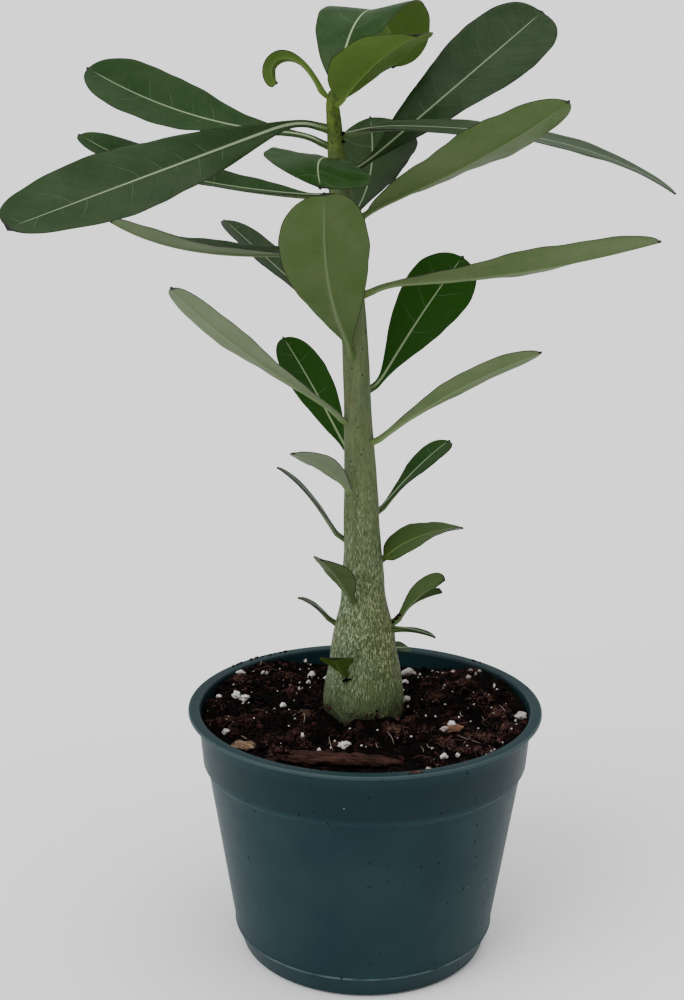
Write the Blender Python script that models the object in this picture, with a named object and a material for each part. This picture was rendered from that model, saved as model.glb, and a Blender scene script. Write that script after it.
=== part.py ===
"""Potted desert rose: a young caudex plant in a round nursery pot.

Metres, +Z up. The origin is the centre of the pot's underside, +X is right and -Y is the front.
"""
import math
import random

import bmesh
import bpy
import numpy as np
from mathutils import Matrix, Vector, noise

MM = 0.001
WELD = 0.00001

# Driving dimensions of the pot, in millimetres
RIM_RADIUS = 82.5
POT_HEIGHT = 118.0
LIP_THICKNESS = 1.6
WALL = 1.2
BAND_TOP_RADIUS = 78.0
BAND_BOTTOM_RADIUS = 75.9
BAND_BOTTOM_Z = 92.0
BAND_STEP = 2.0
SEAM_RADIUS = 61.6
SEAM_Z = 10.9
SEAM_PROUD = 0.35
SEAM_HALF_HEIGHT = 0.5
FOOT_RADIUS = 57.0
FOOT_WIDTH = 5.0
FLOOR_LIFT = 3.0
CENTRE_PAD_RADIUS = 14.0
CHAMFER = 2.0
SOFT_EDGE = 0.4
CORNER_SOFT_EDGE = 1.0
CORNER_HEIGHT = 3.0
CORNER_INSET = 2.0
BAND_STEP_HEIGHT = 1.0
DRAIN_HOLES = 8
DRAIN_HOLE_RADIUS = 4.5
DRAIN_HOLE_SIDES = 16
DRAIN_RING_RADIUS = 36.0
DRAIN_CUT_LENGTH = 20.0
POT_SEGMENTS = 48

# Driving dimensions of the soil, in millimetres
GAP = 0.3
SOIL_WALL_Z = 107.5
SOIL_STEM_Z = 112.0
SOIL_FALL = 1.4
SOIL_RINGS = 10
SOIL_RELIEF = 2.2
SOIL_RELIEF_SIZE = 9.0
FINE_RELIEF_SHARE = 0.6
FINE_RELIEF_SCALE = 2.3
FINE_RELIEF_SHIFT = (5.0, 1.0, 2.0)
HOLE_CLEARANCE = 0.45
SOIL_EDGE_INSET = 0.9
RING_MARGIN = 0.5
BURIED_MARGIN = 1.0
CALM_AT_STEM = (19.0, 25.0)
CALM_AT_WALL = (70.0, 76.0)
RINGS_FOLLOW_STEM = (24.0, 60.0)
PERLITE_GRAINS = 26
PERLITE_SEED = 7
PERLITE_NEAREST = 26.0
PERLITE_FARTHEST = 68.0
PERLITE_RADIUS = (1.5, 3.0)
PERLITE_SCALE = (1.0, 0.8, 0.75)
PERLITE_LIFT = -0.05
PERLITE_OFF_BARK = 3.0
PERLITE_APART = 1.5

# Height of the soil along the wall (azimuth in degrees, height): heaped at the back, to the left and right
SOIL_ALONG_WALL = (
    (-180, 113), (-150, 110), (-90, 108), (-30, 110), (0, 113), (25, 116), (42, 116), (52, 113), (62, 110),
    (85, 108.5), (104, 109), (118, 113), (132, 116), (155, 116), (180, 113),
)

# Driving dimensions of the plant, in millimetres
STEM_X = -0.9
STEM_SIDES = 20
STEM_STEP = 9.0
CAUDEX_LOBE = 0.025
THREE_LOBES_TURN = 0.6
FIVE_LOBES_TURN = 2.0
FIVE_LOBES_SHARE = 0.5
LOBES_BEGIN = (116.0, 130.0)
LOBES_END = (165.0, 215.0)
PETIOLE_HALF_WIDTH = 1.6
PETIOLE_THICKNESS = 1.5
PETIOLE_SHARE = 0.07
FULL_PETIOLE_LEAF_WIDTH = 16
SMALLEST_PETIOLE = 0.35
ARCH_SHARE = 0.2
BLADE_THICKNESS = 0.65
TIP_HALF_WIDTH = 0.35
MUCRO = 1.8
RIB_TAPER = 0.8
MIDRIB_STEPS = 400
RIPPLE_LAG = 1.5

# Centre line of the stem (height, sideways) and its radius (height, radius)
STEM_CENTRE = (
    (46, STEM_X), (150, STEM_X), (209, -2.3), (254, -4.3), (292, -6.2), (335, -10.0), (370, -14.4),
    (394, -16.8),
)
STEM_RADIUS = (
    (46, 3.0), (52, 6.5), (66, 11.5), (84, 16.0), (100, 18.4), (118, 18.7), (124, 18.4), (133, 17.2),
    (143, 15.5), (153, 14.2), (160, 12.7), (170, 10.5), (182, 9.3), (209, 8.1), (235, 7.1), (254, 6.3),
    (292, 5.8), (335, 5.0), (370, 4.4), (384, 4.1), (390, 3.6), (394, 2.2),
)


def leaf(name, height, azimuth, length, width, rise, droop=0, sweep=0, roll=0, twist=0, **shape):
    """One leaf: heights and sizes in millimetres, angles in degrees, azimuth counted from +X towards +Y.

    The midrib leaves the stem at the angle rise and loses droop on its way to the tip, and turns sideways by
    sweep. The petiole leaves the stem steeper than that by arch. The blade is rolled about its midrib by roll
    at the stem, and by roll + twist at the tip.
    """
    form = dict(arch=0, bend=1.4, fold=8, peak=0.68, blunt=0.5, wave=0.6, waves=2.5)
    form.update(shape)
    form.update(name=name, height=height, azimuth=azimuth, length=length, width=width, rise=rise, droop=droop,
                sweep=sweep, roll=roll, twist=twist)
    return form


LEAVES = (
    leaf("leaf_crown_back", 390, 63, 92, 43, 74, 182, bend=1.9, blunt=0.45, peak=0.62),
    leaf("leaf_crown_front", 388, 311, 55, 42, 42, 29, roll=2, twist=3, bend=1, fold=9, peak=0.6,
         blunt=0.42, arch=20),
    leaf("leaf_crown_hook", 391, 197, 41, 9.5, 60, 216, sweep=11, roll=28, twist=32, bend=2.6, fold=6,
         peak=0.78, blunt=0.4, arch=22),
    leaf("leaf_upper_left_back", 371, 158, 120, 33, -1, -30, sweep=8, roll=-37, twist=-5, bend=1.03,
         fold=14, peak=0.74, blunt=0.53, arch=42),
    leaf("leaf_upper_left", 378.5, 200, 146, 40, -20, -2, sweep=15, roll=-82, twist=65, bend=0.4, peak=0.8,
         blunt=0.3, arch=48),
    leaf("leaf_mid_left_back", 351, 164, 126, 26, 3.5, -24, sweep=-8, roll=-16, twist=-6, bend=1.85,
         fold=16, peak=0.63, blunt=0.47, arch=-6),
    leaf("leaf_mid_left", 324, 177, 102, 25, -3.5, -32, sweep=-7, roll=-20, twist=36, bend=2.2, fold=22,
         peak=0.69, arch=29),
    leaf("leaf_front", 280, 250, 96, 37, 38, -23, sweep=26, roll=3, twist=10, peak=0.7, blunt=0.44, arch=45),
    leaf("leaf_back_left", 296, 133, 96, 20, 27, roll=-3, twist=3, fold=14, peak=0.7, arch=-27),
    leaf("leaf_toward_front", 366.3, 258, 63.5, 44, 4, 36, sweep=23, roll=-10, twist=-5, bend=1.75, fold=4,
         peak=0.75, blunt=0.57, arch=-5),
    leaf("leaf_toward_back", 342, 71, 79, 46, 24, -30, sweep=30, roll=-33, twist=16, bend=1.5, fold=3,
         peak=0.61, blunt=0.59, arch=-34),
    leaf("leaf_upper_right_back", 360.5, 34, 137, 38.5, 35, 5, sweep=14, roll=26, twist=12, fold=7,
         peak=0.72, blunt=0.39, arch=-13),
    leaf("leaf_upper_right", 376.3, 2, 147, 28.5, 0, 33, sweep=-2, roll=15, twist=-3.5, bend=2.05, fold=4,
         peak=0.52, blunt=0.38, arch=22),
    leaf("leaf_right_front", 340.5, 339, 105, 44, 23, -10, sweep=-12, roll=-5, twist=-12, bend=1.9, fold=9,
         peak=0.56, blunt=0.55, arch=18),
    leaf("leaf_mid_right", 308, 353, 128, 30, 0, -16, sweep=-2, roll=-38, twist=22, bend=0.8, fold=14,
         peak=0.7, blunt=0.53, arch=40),
    leaf("leaf_right_back", 265.5, 38, 79, 31.5, 52, 8, roll=36, twist=4, fold=5, peak=0.72, arch=-35),
    leaf("leaf_lower_left", 251.5, 210, 103, 24, 32, -13, sweep=-3, roll=17, bend=2, fold=4, peak=0.75,
         blunt=0.44, arch=26),
    leaf("leaf_lower_left_back", 236, 127, 70.5, 21, 45, 5, sweep=3, roll=-16, twist=-6, fold=11,
         peak=0.65, arch=-13),
    leaf("leaf_lower_right", 243, 335, 89, 18, 38, 17, roll=-25),
    leaf("leaf_small_right", 209, 29, 49.5, 16, 45, 21, sweep=10, roll=-5, twist=12, bend=1.5, peak=0.73),
    leaf("leaf_small_left", 219.5, 229, 45, 16, 50, 34, roll=17, twist=-2, bend=0.95, fold=6, peak=0.65,
         arch=34),
    leaf("leaf_thin_left", 197.5, 180, 44.5, 9, 57, 26, bend=2.3, fold=4, arch=-11),
    leaf("leaf_folded_right", 187, 0, 40.5, 21, 62, 60, sweep=12, roll=36, twist=-48, bend=0.52, fold=12,
         peak=0.5, blunt=0.42),
    leaf("leaf_small_front", 170.4, 245, 42.5, 18, 51, 21, roll=-2, twist=-7, fold=10, peak=0.66, arch=-4),
    leaf("leaf_low_right", 157.5, 352, 30.5, 14, 60, 38, sweep=-26, roll=-50, twist=-32, bend=1.7, fold=40,
         peak=0.82, blunt=0.3, arch=-26),
    leaf("leaf_low_right_thin", 156.2, 345, 19.5, 6.5, 5, 25, twist=-6, bend=1.1, arch=10),
    leaf("leaf_low_left_thin", 157.3, 182, 20.5, 6.5, 50, 34, bend=1.7, fold=4, arch=-3),
    leaf("leaf_low_back", 140, 50, 18, 9, -8, 10, roll=25),
    leaf("leaf_low_stub", 137, 240, 14, 17, 50, blunt=0.15, peak=0.9),
)
LARGE_LEAF = 60.0
LARGE_LEAF_ROWS = 12
SMALL_LEAF_ROWS = 8
LEAF_COLUMNS = 4

# Bark lying on the soil: middle (x, y), heading in degrees, length, width, thickness, in millimetres
BARK = (
    ("bark_stick", (-11.0, -53.5), -7, 55.0, 8.0, 5.0),
    ("bark_chip_left", (-54.0, -38.5), -30, 11.0, 7.0, 3.0),
    ("bark_chip_right", (40.0, -19.5), 17, 10.0, 6.0, 3.0),
)
BED_MARGIN = 5.0
BED_SOFT_EDGE = 8.0
BED_LIFT = 0.4
BARK_STEP = 7.0
BARK_END_TAPER = 0.45
BARK_BOW = 0.12
BARK_BOW_TURN = 3.0
BARK_BOW_START = 0.5
BARK_CROWN = 0.5
BARK_WIDTH_PLAY = (0.85, 1.0)
BARK_THICKNESS_PLAY = (0.8, 1.0)

# Angles in degrees above which an edge stays sharp
POT_SHARP_ANGLE = 30.0
SOIL_SHARP_ANGLE = 180.0
STEM_SHARP_ANGLE = 50.0
LEAF_SHARP_ANGLE = 60.0
BARK_SHARP_ANGLE = 30.0


def clear_scene():
    for old in list(bpy.data.objects):
        bpy.data.objects.remove(old, do_unlink=True)


def new_collection(name):
    collection = bpy.data.collections.new(name)
    bpy.context.scene.collection.children.link(collection)
    return collection


def principled(name, colour, roughness, metallic=0.0):
    material = bpy.data.materials.new(name)
    material.use_nodes = True
    shader = material.node_tree.nodes["Principled BSDF"]
    shader.inputs["Base Color"].default_value = (*colour, 1.0)
    shader.inputs["Roughness"].default_value = roughness
    shader.inputs["Metallic"].default_value = metallic
    return material


def add_object(name, mesh, collection, material, sharp_angle):
    """A smooth-shaded object from a mesh whose points are in metres."""
    mesh.shade_smooth()
    mesh.set_sharp_from_angle(angle=math.radians(sharp_angle))
    mesh.materials.clear()
    mesh.materials.append(material)
    obj = bpy.data.objects.new(name, mesh)
    collection.objects.link(obj)
    return obj


def mesh_from_bmesh(name, bm):
    mesh = bpy.data.meshes.new(name)
    bm.normal_update()
    bm.to_mesh(mesh)
    bm.free()
    return mesh


def turned(profile, segments):
    """A closed turned body: the profile (radius, height) runs from the axis round to the axis."""
    bm = bmesh.new()
    points = [bm.verts.new((radius * MM, 0.0, height * MM)) for radius, height in profile]
    edges = [bm.edges.new(pair) for pair in zip(points, points[1:])]
    bmesh.ops.spin(bm, geom=points + edges, cent=(0, 0, 0), axis=(0, 0, 1), angle=2 * math.pi, steps=segments)
    bmesh.ops.remove_doubles(bm, verts=bm.verts, dist=WELD)
    bmesh.ops.recalc_face_normals(bm, faces=bm.faces)
    return bm


def smooth_through(points, at):
    """The value at one height on a smooth curve through points (height, value)."""
    heights = [height for height, _ in points]
    values = [value for _, value in points]
    slopes = np.gradient(values, heights)
    at = min(max(at, heights[0]), heights[-1])
    low = min(max(int(np.searchsorted(heights, at)) - 1, 0), len(heights) - 2)
    span = heights[low + 1] - heights[low]
    t = (at - heights[low]) / span
    start = (2 * t**3 - 3 * t**2 + 1) * values[low] + (t**3 - 2 * t**2 + t) * span * slopes[low]
    end = (3 * t**2 - 2 * t**3) * values[low + 1] + (t**3 - t**2) * span * slopes[low + 1]
    return start + end


def ramp(value, low, high):
    """Rises evenly from 0 at low to 1 at high."""
    return min(max((value - low) / (high - low), 0.0), 1.0)


def stem_radius(height, angle):
    """Radius of the stem: the swollen caudex has soft lobes, the buried part and the trunk are round."""
    lobes = math.cos(3 * angle + THREE_LOBES_TURN) + FIVE_LOBES_SHARE * math.cos(5 * angle + FIVE_LOBES_TURN)
    fade = ramp(height, *LOBES_BEGIN) * (1 - ramp(height, *LOBES_END))
    return smooth_through(STEM_RADIUS, height) * (1 + CAUDEX_LOBE * lobes * fade)


def pot_profile():
    """Outside from the foot up to the lip, then the inside down to the floor."""
    body_top_radius = BAND_BOTTOM_RADIUS - BAND_STEP
    lift = FLOOR_LIFT
    pad = CENTRE_PAD_RADIUS
    foot_inner = FOOT_RADIUS - FOOT_WIDTH
    outside = [
        (0, 0), (pad, 0), (pad + CHAMFER, lift), (foot_inner - CHAMFER, lift), (foot_inner, 0),
        (FOOT_RADIUS - CORNER_SOFT_EDGE, 0), (FOOT_RADIUS + CORNER_SOFT_EDGE, CORNER_SOFT_EDGE),
        (SEAM_RADIUS - SEAM_PROUD, SEAM_Z - SEAM_HALF_HEIGHT), (SEAM_RADIUS + SEAM_PROUD, SEAM_Z),
        (SEAM_RADIUS, SEAM_Z + SEAM_HALF_HEIGHT), (body_top_radius, BAND_BOTTOM_Z - BAND_STEP_HEIGHT),
        (BAND_BOTTOM_RADIUS, BAND_BOTTOM_Z), (BAND_TOP_RADIUS, POT_HEIGHT - LIP_THICKNESS),
        (RIM_RADIUS - SOFT_EDGE, POT_HEIGHT - LIP_THICKNESS), (RIM_RADIUS, POT_HEIGHT - LIP_THICKNESS / 2),
        (RIM_RADIUS - SOFT_EDGE, POT_HEIGHT), (BAND_TOP_RADIUS + SOFT_EDGE, POT_HEIGHT),
    ]
    return outside + pot_inside(0.0)


def pot_inside(clearance):
    """The inside of the pot from the lip down to the axis, drawn off its walls and floor by a clearance."""
    pad = CENTRE_PAD_RADIUS
    foot_inner = FOOT_RADIUS - FOOT_WIDTH
    body_top_radius = BAND_BOTTOM_RADIUS - BAND_STEP
    wall_slope = (body_top_radius - SEAM_RADIUS) / (BAND_BOTTOM_Z - SEAM_Z)
    corner_z = WALL + CORNER_HEIGHT
    corner_radius = SEAM_RADIUS - WALL - wall_slope * (SEAM_Z - corner_z) - CORNER_INSET
    outer_wall = [
        (BAND_TOP_RADIUS - WALL, POT_HEIGHT - SOFT_EDGE),
        (BAND_BOTTOM_RADIUS - WALL, BAND_BOTTOM_Z + BAND_STEP_HEIGHT),
        (body_top_radius - WALL, BAND_BOTTOM_Z - BAND_STEP_HEIGHT),
        (corner_radius + CORNER_INSET / 2, corner_z + CORNER_INSET),
        (corner_radius - CORNER_INSET, WALL),
    ]
    foot_side = [(foot_inner + WALL, WALL), (foot_inner - CHAMFER + WALL / 2, FLOOR_LIFT + WALL)]
    pad_side = [(pad + CHAMFER - WALL / 2, FLOOR_LIFT + WALL), (pad - WALL, WALL), (0, WALL)]
    points = [(radius - clearance, height + clearance) for radius, height in outer_wall]
    points += [(radius + clearance, height + clearance) for radius, height in foot_side]
    points += [(max(radius - clearance, 0), height + clearance) for radius, height in pad_side]
    return points


def build_pot(collection, cutters, material):
    bm = turned(pot_profile(), POT_SEGMENTS)
    pot = add_object("pot", mesh_from_bmesh("pot", bm), collection, material, POT_SHARP_ANGLE)
    for number in range(DRAIN_HOLES):
        angle = 2 * math.pi * (number + 0.5) / DRAIN_HOLES
        place = (DRAIN_RING_RADIUS * MM * math.cos(angle), DRAIN_RING_RADIUS * MM * math.sin(angle), 0.0)
        bpy.ops.mesh.primitive_cylinder_add(vertices=DRAIN_HOLE_SIDES, radius=DRAIN_HOLE_RADIUS * MM,
                                            depth=DRAIN_CUT_LENGTH * MM, location=place)
        cutter = bpy.context.object
        cutter.name = "drain_cutter_%d" % (number + 1)
        cutter.hide_render = True
        cutter.display_type = "WIRE"
        for holder in list(cutter.users_collection):
            holder.objects.unlink(cutter)
        cutters.objects.link(cutter)
        cut = pot.modifiers.new("drain_%d" % (number + 1), "BOOLEAN")
        cut.operation = "DIFFERENCE"
        cut.object = cutter
    return pot


def bark_offset(x, y, piece):
    """Distance from a point on the soil to the outline of a bark piece, zero inside it."""
    _, middle, heading, length, width, _ = piece
    angle = math.radians(heading)
    dx = x - middle[0]
    dy = y - middle[1]
    along = abs(dx * math.cos(angle) + dy * math.sin(angle)) - length / 2
    across = abs(dy * math.cos(angle) - dx * math.sin(angle)) - width / 2
    return math.hypot(max(along, 0.0), max(across, 0.0))


def soil_slope(x, y):
    """Smooth height of the soil between the stem and the wall."""
    out = ramp(math.hypot(x - STEM_X, y), CALM_AT_STEM[0], BAND_TOP_RADIUS - WALL)
    wall_height = smooth_through(SOIL_ALONG_WALL, math.degrees(math.atan2(y, x)))
    return SOIL_STEM_Z + (wall_height - SOIL_STEM_Z) * out**SOIL_FALL


def soil_height(x, y):
    """Height of the soil with its crumbs, calm along wall and stem and flat under each piece of bark."""
    height = soil_slope(x, y)
    distance = math.hypot(x - STEM_X, y)
    away_from_edges = ramp(distance, *CALM_AT_STEM) * (1 - ramp(distance, *CALM_AT_WALL))
    spot = Vector((x, y, 0.0)) / SOIL_RELIEF_SIZE
    fine_spot = spot * FINE_RELIEF_SCALE + Vector(FINE_RELIEF_SHIFT)
    crumbs = noise.noise(spot) + FINE_RELIEF_SHARE * noise.noise(fine_spot)
    height += SOIL_RELIEF * crumbs * away_from_edges
    for piece in BARK:
        away = ramp(bark_offset(x, y, piece), BED_MARGIN, BED_MARGIN + BED_SOFT_EDGE)
        height = bark_bed(piece) + (height - bark_bed(piece)) * away
    return height


def bark_bed(piece):
    """Height of the flat bed that a bark piece lies on."""
    middle = piece[1]
    return soil_slope(middle[0], middle[1]) + BED_LIFT


def build_soil(collection, material):
    """Soil fills the pot, with a plain hole for the buried caudex, a crumbly top and grains of perlite."""
    buried = [height for height in stem_heights() if height < SOIL_STEM_Z - BURIED_MARGIN] + [SOIL_STEM_Z]
    hole = [(smooth_through(STEM_RADIUS, height) + HOLE_CLEARANCE, height) for height in buried]
    wall = pot_inside(GAP)
    inner = hole[-1][0]
    outer = BAND_TOP_RADIUS - WALL - GAP - SOIL_EDGE_INSET
    top = []
    for ring in range(SOIL_RINGS, 0, -1):
        top.append((inner + (outer - inner) * ring / SOIL_RINGS, SOIL_WALL_Z))
    bottom = list(reversed(wall[1:]))
    hole_bottom = (0, hole[0][1] - HOLE_CLEARANCE)
    bm = turned(bottom + top + list(reversed(hole)) + [hole_bottom], POT_SEGMENTS)
    for vert in bm.verts:
        x, y, z = (value / MM for value in vert.co)
        distance = math.hypot(x, y)
        near_stem = 1 - ramp(distance, *RINGS_FOLLOW_STEM)
        if z > hole[0][1] - BURIED_MARGIN and distance < outer - RING_MARGIN:
            vert.co.x += STEM_X * MM * near_stem
        if z > SOIL_WALL_Z - RING_MARGIN and distance > inner + RING_MARGIN:
            vert.co.z = soil_height(vert.co.x / MM, y) * MM
    bmesh.ops.triangulate(bm, faces=bm.faces)
    soil = add_object("soil", mesh_from_bmesh("soil", bm), collection, material, SOIL_SHARP_ANGLE)
    add_perlite(soil, collection)
    return soil


def perlite_places():
    """Grains scattered over the soil, clear of the stem, the wall and the bark."""
    draw = random.Random(PERLITE_SEED)
    places = []
    while len(places) < PERLITE_GRAINS:
        angle = draw.uniform(0.0, 2 * math.pi)
        distance = PERLITE_NEAREST + (PERLITE_FARTHEST - PERLITE_NEAREST) * math.sqrt(draw.random())
        x = distance * math.cos(angle)
        y = distance * math.sin(angle)
        size = draw.uniform(*PERLITE_RADIUS)
        clear_of_bark = all(bark_offset(x, y, piece) > size + PERLITE_OFF_BARK for piece in BARK)
        reach = size + PERLITE_APART
        clear_of_grains = all(math.hypot(x - other[0], y - other[1]) > reach + other[2] for other in places)
        if clear_of_bark and clear_of_grains:
            places.append((x, y, size, draw.uniform(0.0, math.pi)))
    return places


def add_perlite(soil, collection):
    """Joins the grains to the soil, each sunk well into it."""
    bm = bmesh.new()
    for x, y, size, turn in perlite_places():
        scale = Matrix.Diagonal((*PERLITE_SCALE, 1.0))
        place = Matrix.Translation((x * MM, y * MM, (soil_height(x, y) + PERLITE_LIFT * size) * MM))
        bmesh.ops.create_icosphere(bm, subdivisions=1, radius=size * MM,
                                   matrix=place @ Matrix.Rotation(turn, 4, "Z") @ scale)
    mesh = bpy.data.meshes.new("perlite")
    bm.to_mesh(mesh)
    bm.free()
    grains = bpy.data.objects.new("perlite", mesh)
    collection.objects.link(grains)
    join = soil.modifiers.new("perlite", "BOOLEAN")
    join.operation = "UNION"
    join.object = grains
    bpy.context.view_layer.update()
    evaluated = soil.evaluated_get(bpy.context.evaluated_depsgraph_get())
    joined = bpy.data.meshes.new_from_object(evaluated)
    soil.modifiers.clear()
    soil.data = joined
    bpy.data.objects.remove(grains, do_unlink=True)


def stem_heights():
    """Even steps from the end of the root to the growing tip."""
    low = STEM_RADIUS[0][0]
    top = STEM_RADIUS[-1][0]
    count = int((top - low) / STEM_STEP)
    return [low + (top - low) * step / count for step in range(count + 1)]


def build_stem(collection, material):
    """One grown piece: a curve with the radius of the stem at each height, then soft lobes on the caudex."""
    heights = stem_heights()
    curve = bpy.data.curves.new("stem_curve", "CURVE")
    curve.dimensions = "3D"
    curve.bevel_depth = MM
    curve.bevel_resolution = STEM_SIDES // 2 - 2
    curve.use_fill_caps = True
    spline = curve.splines.new("POLY")
    spline.points.add(len(heights) - 1)
    for point, height in zip(spline.points, heights):
        point.co = (smooth_through(STEM_CENTRE, height) * MM, 0.0, height * MM, 1.0)
        point.radius = smooth_through(STEM_RADIUS, height)
    guide = bpy.data.objects.new("stem_guide", curve)
    collection.objects.link(guide)
    bpy.context.view_layer.update()
    evaluated = guide.evaluated_get(bpy.context.evaluated_depsgraph_get())
    mesh = bpy.data.meshes.new_from_object(evaluated)
    bpy.data.objects.remove(guide, do_unlink=True)
    bm = bmesh.new()
    bm.from_mesh(mesh)
    bmesh.ops.remove_doubles(bm, verts=bm.verts, dist=WELD)
    for vert in bm.verts:
        height = vert.co.z / MM
        centre = smooth_through(STEM_CENTRE, height)
        dx = vert.co.x / MM - centre
        dy = vert.co.y / MM
        if math.hypot(dx, dy) > RING_MARGIN:
            stretch = stem_radius(height, math.atan2(dy, dx)) / smooth_through(STEM_RADIUS, height)
            vert.co.x = (centre + dx * stretch) * MM
            vert.co.y = dy * stretch * MM
    return add_object("stem", mesh_from_bmesh("stem", bm), collection, material, STEM_SHARP_ANGLE)


def half_width(form, along):
    """Half the width of the leaf, and the share of the blade behind it, at a share of its length."""
    blade_share = max((along - PETIOLE_SHARE) / (1 - PETIOLE_SHARE), 0.0)
    power = form["peak"] * form["blunt"] / (1 - form["peak"])
    widest = form["peak"] ** power * (1 - form["peak"]) ** form["blunt"]
    blade = blade_share**power * max(1 - blade_share, 0.0) ** form["blunt"] / widest
    petiole = PETIOLE_HALF_WIDTH * min(1.0, form["width"] / FULL_PETIOLE_LEAF_WIDTH + SMALLEST_PETIOLE)
    return math.hypot(petiole * (1 - blade_share), form["width"] / 2 * blade), blade_share


def midrib(form, shares):
    """Points and directions of the midrib at the given shares of the length, starting on the stem's skin."""
    azimuth = math.radians(form["azimuth"])
    height = form["height"]
    reach = stem_radius(height, azimuth) + GAP
    start = np.array((smooth_through(STEM_CENTRE, height) + reach * math.cos(azimuth),
                      reach * math.sin(azimuth), height))
    middles = (np.arange(MIDRIB_STEPS) + 0.5) / MIDRIB_STEPS
    steps = midrib_direction(form, middles) * form["length"] / MIDRIB_STEPS
    line = np.vstack([np.zeros(3), np.cumsum(steps, axis=0)]) + start
    at = np.linspace(0.0, 1.0, MIDRIB_STEPS + 1)
    points = np.stack([np.interp(shares, at, line[:, axis]) for axis in range(3)], axis=-1)
    return points, midrib_direction(form, shares)


def bent_angles(form, shares):
    """Climb and heading of the midrib, in radians."""
    bent = shares ** form["bend"]
    arched = form["arch"] * np.maximum(1 - shares / ARCH_SHARE, 0.0) ** 2
    climb = np.radians(form["rise"] - form["droop"] * bent + arched)
    heading = np.radians(form["azimuth"] + form["sweep"] * bent)
    return climb, heading


def midrib_direction(form, shares):
    climb, heading = bent_angles(form, shares)
    level = np.cos(climb)
    return np.stack([level * np.cos(heading), level * np.sin(heading), np.sin(climb)], axis=-1)


def blade_axes(form, shares):
    """Directions across the blade and out of its upper face, turned by roll and twist."""
    climb, heading = bent_angles(form, shares)
    back = -np.sin(climb)
    upward = np.stack([back * np.cos(heading), back * np.sin(heading), np.cos(climb)], axis=-1)
    across = np.cross(upward, midrib_direction(form, shares))
    turn = np.radians(form["roll"] + form["twist"] * shares)[:, None]
    return np.cos(turn) * across + np.sin(turn) * upward, np.cos(turn) * upward - np.sin(turn) * across


def leaf_faces(form, rows):
    """Upper and lower points of a leaf, as rows of columns."""
    shares = 0.5 - 0.5 * np.cos(np.pi * np.arange(rows + 1) / rows)
    points, directions = midrib(form, shares)
    across, upward = blade_axes(form, shares)
    points[-1] += directions[-1] * MUCRO
    fold = math.radians(form["fold"])
    upper = []
    lower = []
    for row, share in enumerate(shares):
        half, blade_share = half_width(form, share)
        if row == rows:
            half = TIP_HALF_WIDTH
        rib = PETIOLE_THICKNESS * (1 - RIB_TAPER * blade_share)
        upper_row = []
        lower_row = []
        for column in range(LEAF_COLUMNS + 1):
            side = 2 * column / LEAF_COLUMNS - 1
            ripple = form["wave"] * side**2 * math.sin(math.pi * blade_share)
            turns = 2 * math.pi * form["waves"] * blade_share + RIPPLE_LAG * side + form["azimuth"]
            ripple *= math.sin(turns)
            lift = half * abs(side) * math.sin(fold) + ripple
            middle = points[row] + across[row] * half * side * math.cos(fold) + upward[row] * lift
            upper_row.append(middle + upward[row] * BLADE_THICKNESS / 2)
            lower_row.append(middle - upward[row] * (BLADE_THICKNESS / 2 + rib * (1 - abs(side)) ** 2))
        upper.append(upper_row)
        lower.append(lower_row)
    upper[0] = [seat_on_stem(point) for point in upper[0]]
    lower[0] = [seat_on_stem(point) for point in lower[0]]
    return upper, lower


def seat_on_stem(point):
    """Moves a point of a leaf's foot to just off the stem's skin."""
    centre = smooth_through(STEM_CENTRE, point[2])
    dx = point[0] - centre
    dy = point[1]
    reach = stem_radius(point[2], math.atan2(dy, dx)) + GAP
    factor = reach / math.hypot(dx, dy)
    return np.array((centre + dx * factor, dy * factor, point[2]))


def build_leaf(form, collection, material):
    """A leaf lofted from its foot to its tip, split into triangles alike on both faces."""
    rows = LARGE_LEAF_ROWS if form["length"] >= LARGE_LEAF else SMALL_LEAF_ROWS
    upper, lower = leaf_faces(form, rows)
    bm = bmesh.new()
    top = [[bm.verts.new(Vector(point) * MM) for point in row] for row in upper]
    under = [[bm.verts.new(Vector(point) * MM) for point in row] for row in lower]
    for row in range(rows):
        for column in range(LEAF_COLUMNS):
            for face, flip in ((top, False), (under, True)):
                a = face[row][column]
                b = face[row + 1][column]
                c = face[row + 1][column + 1]
                d = face[row][column + 1]
                for corners in ((a, b, c), (a, c, d)):
                    bm.faces.new(tuple(reversed(corners)) if flip else corners)
        for column in (0, LEAF_COLUMNS):
            bm.faces.new((top[row][column], top[row + 1][column], under[row + 1][column], under[row][column]))
    for row in (0, rows):
        for column in range(LEAF_COLUMNS):
            bm.faces.new((top[row][column], top[row][column + 1], under[row][column + 1], under[row][column]))
    bmesh.ops.recalc_face_normals(bm, faces=bm.faces)
    mesh = mesh_from_bmesh(form["name"], bm)
    return add_object(form["name"], mesh, collection, material, LEAF_SHARP_ANGLE)


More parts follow.
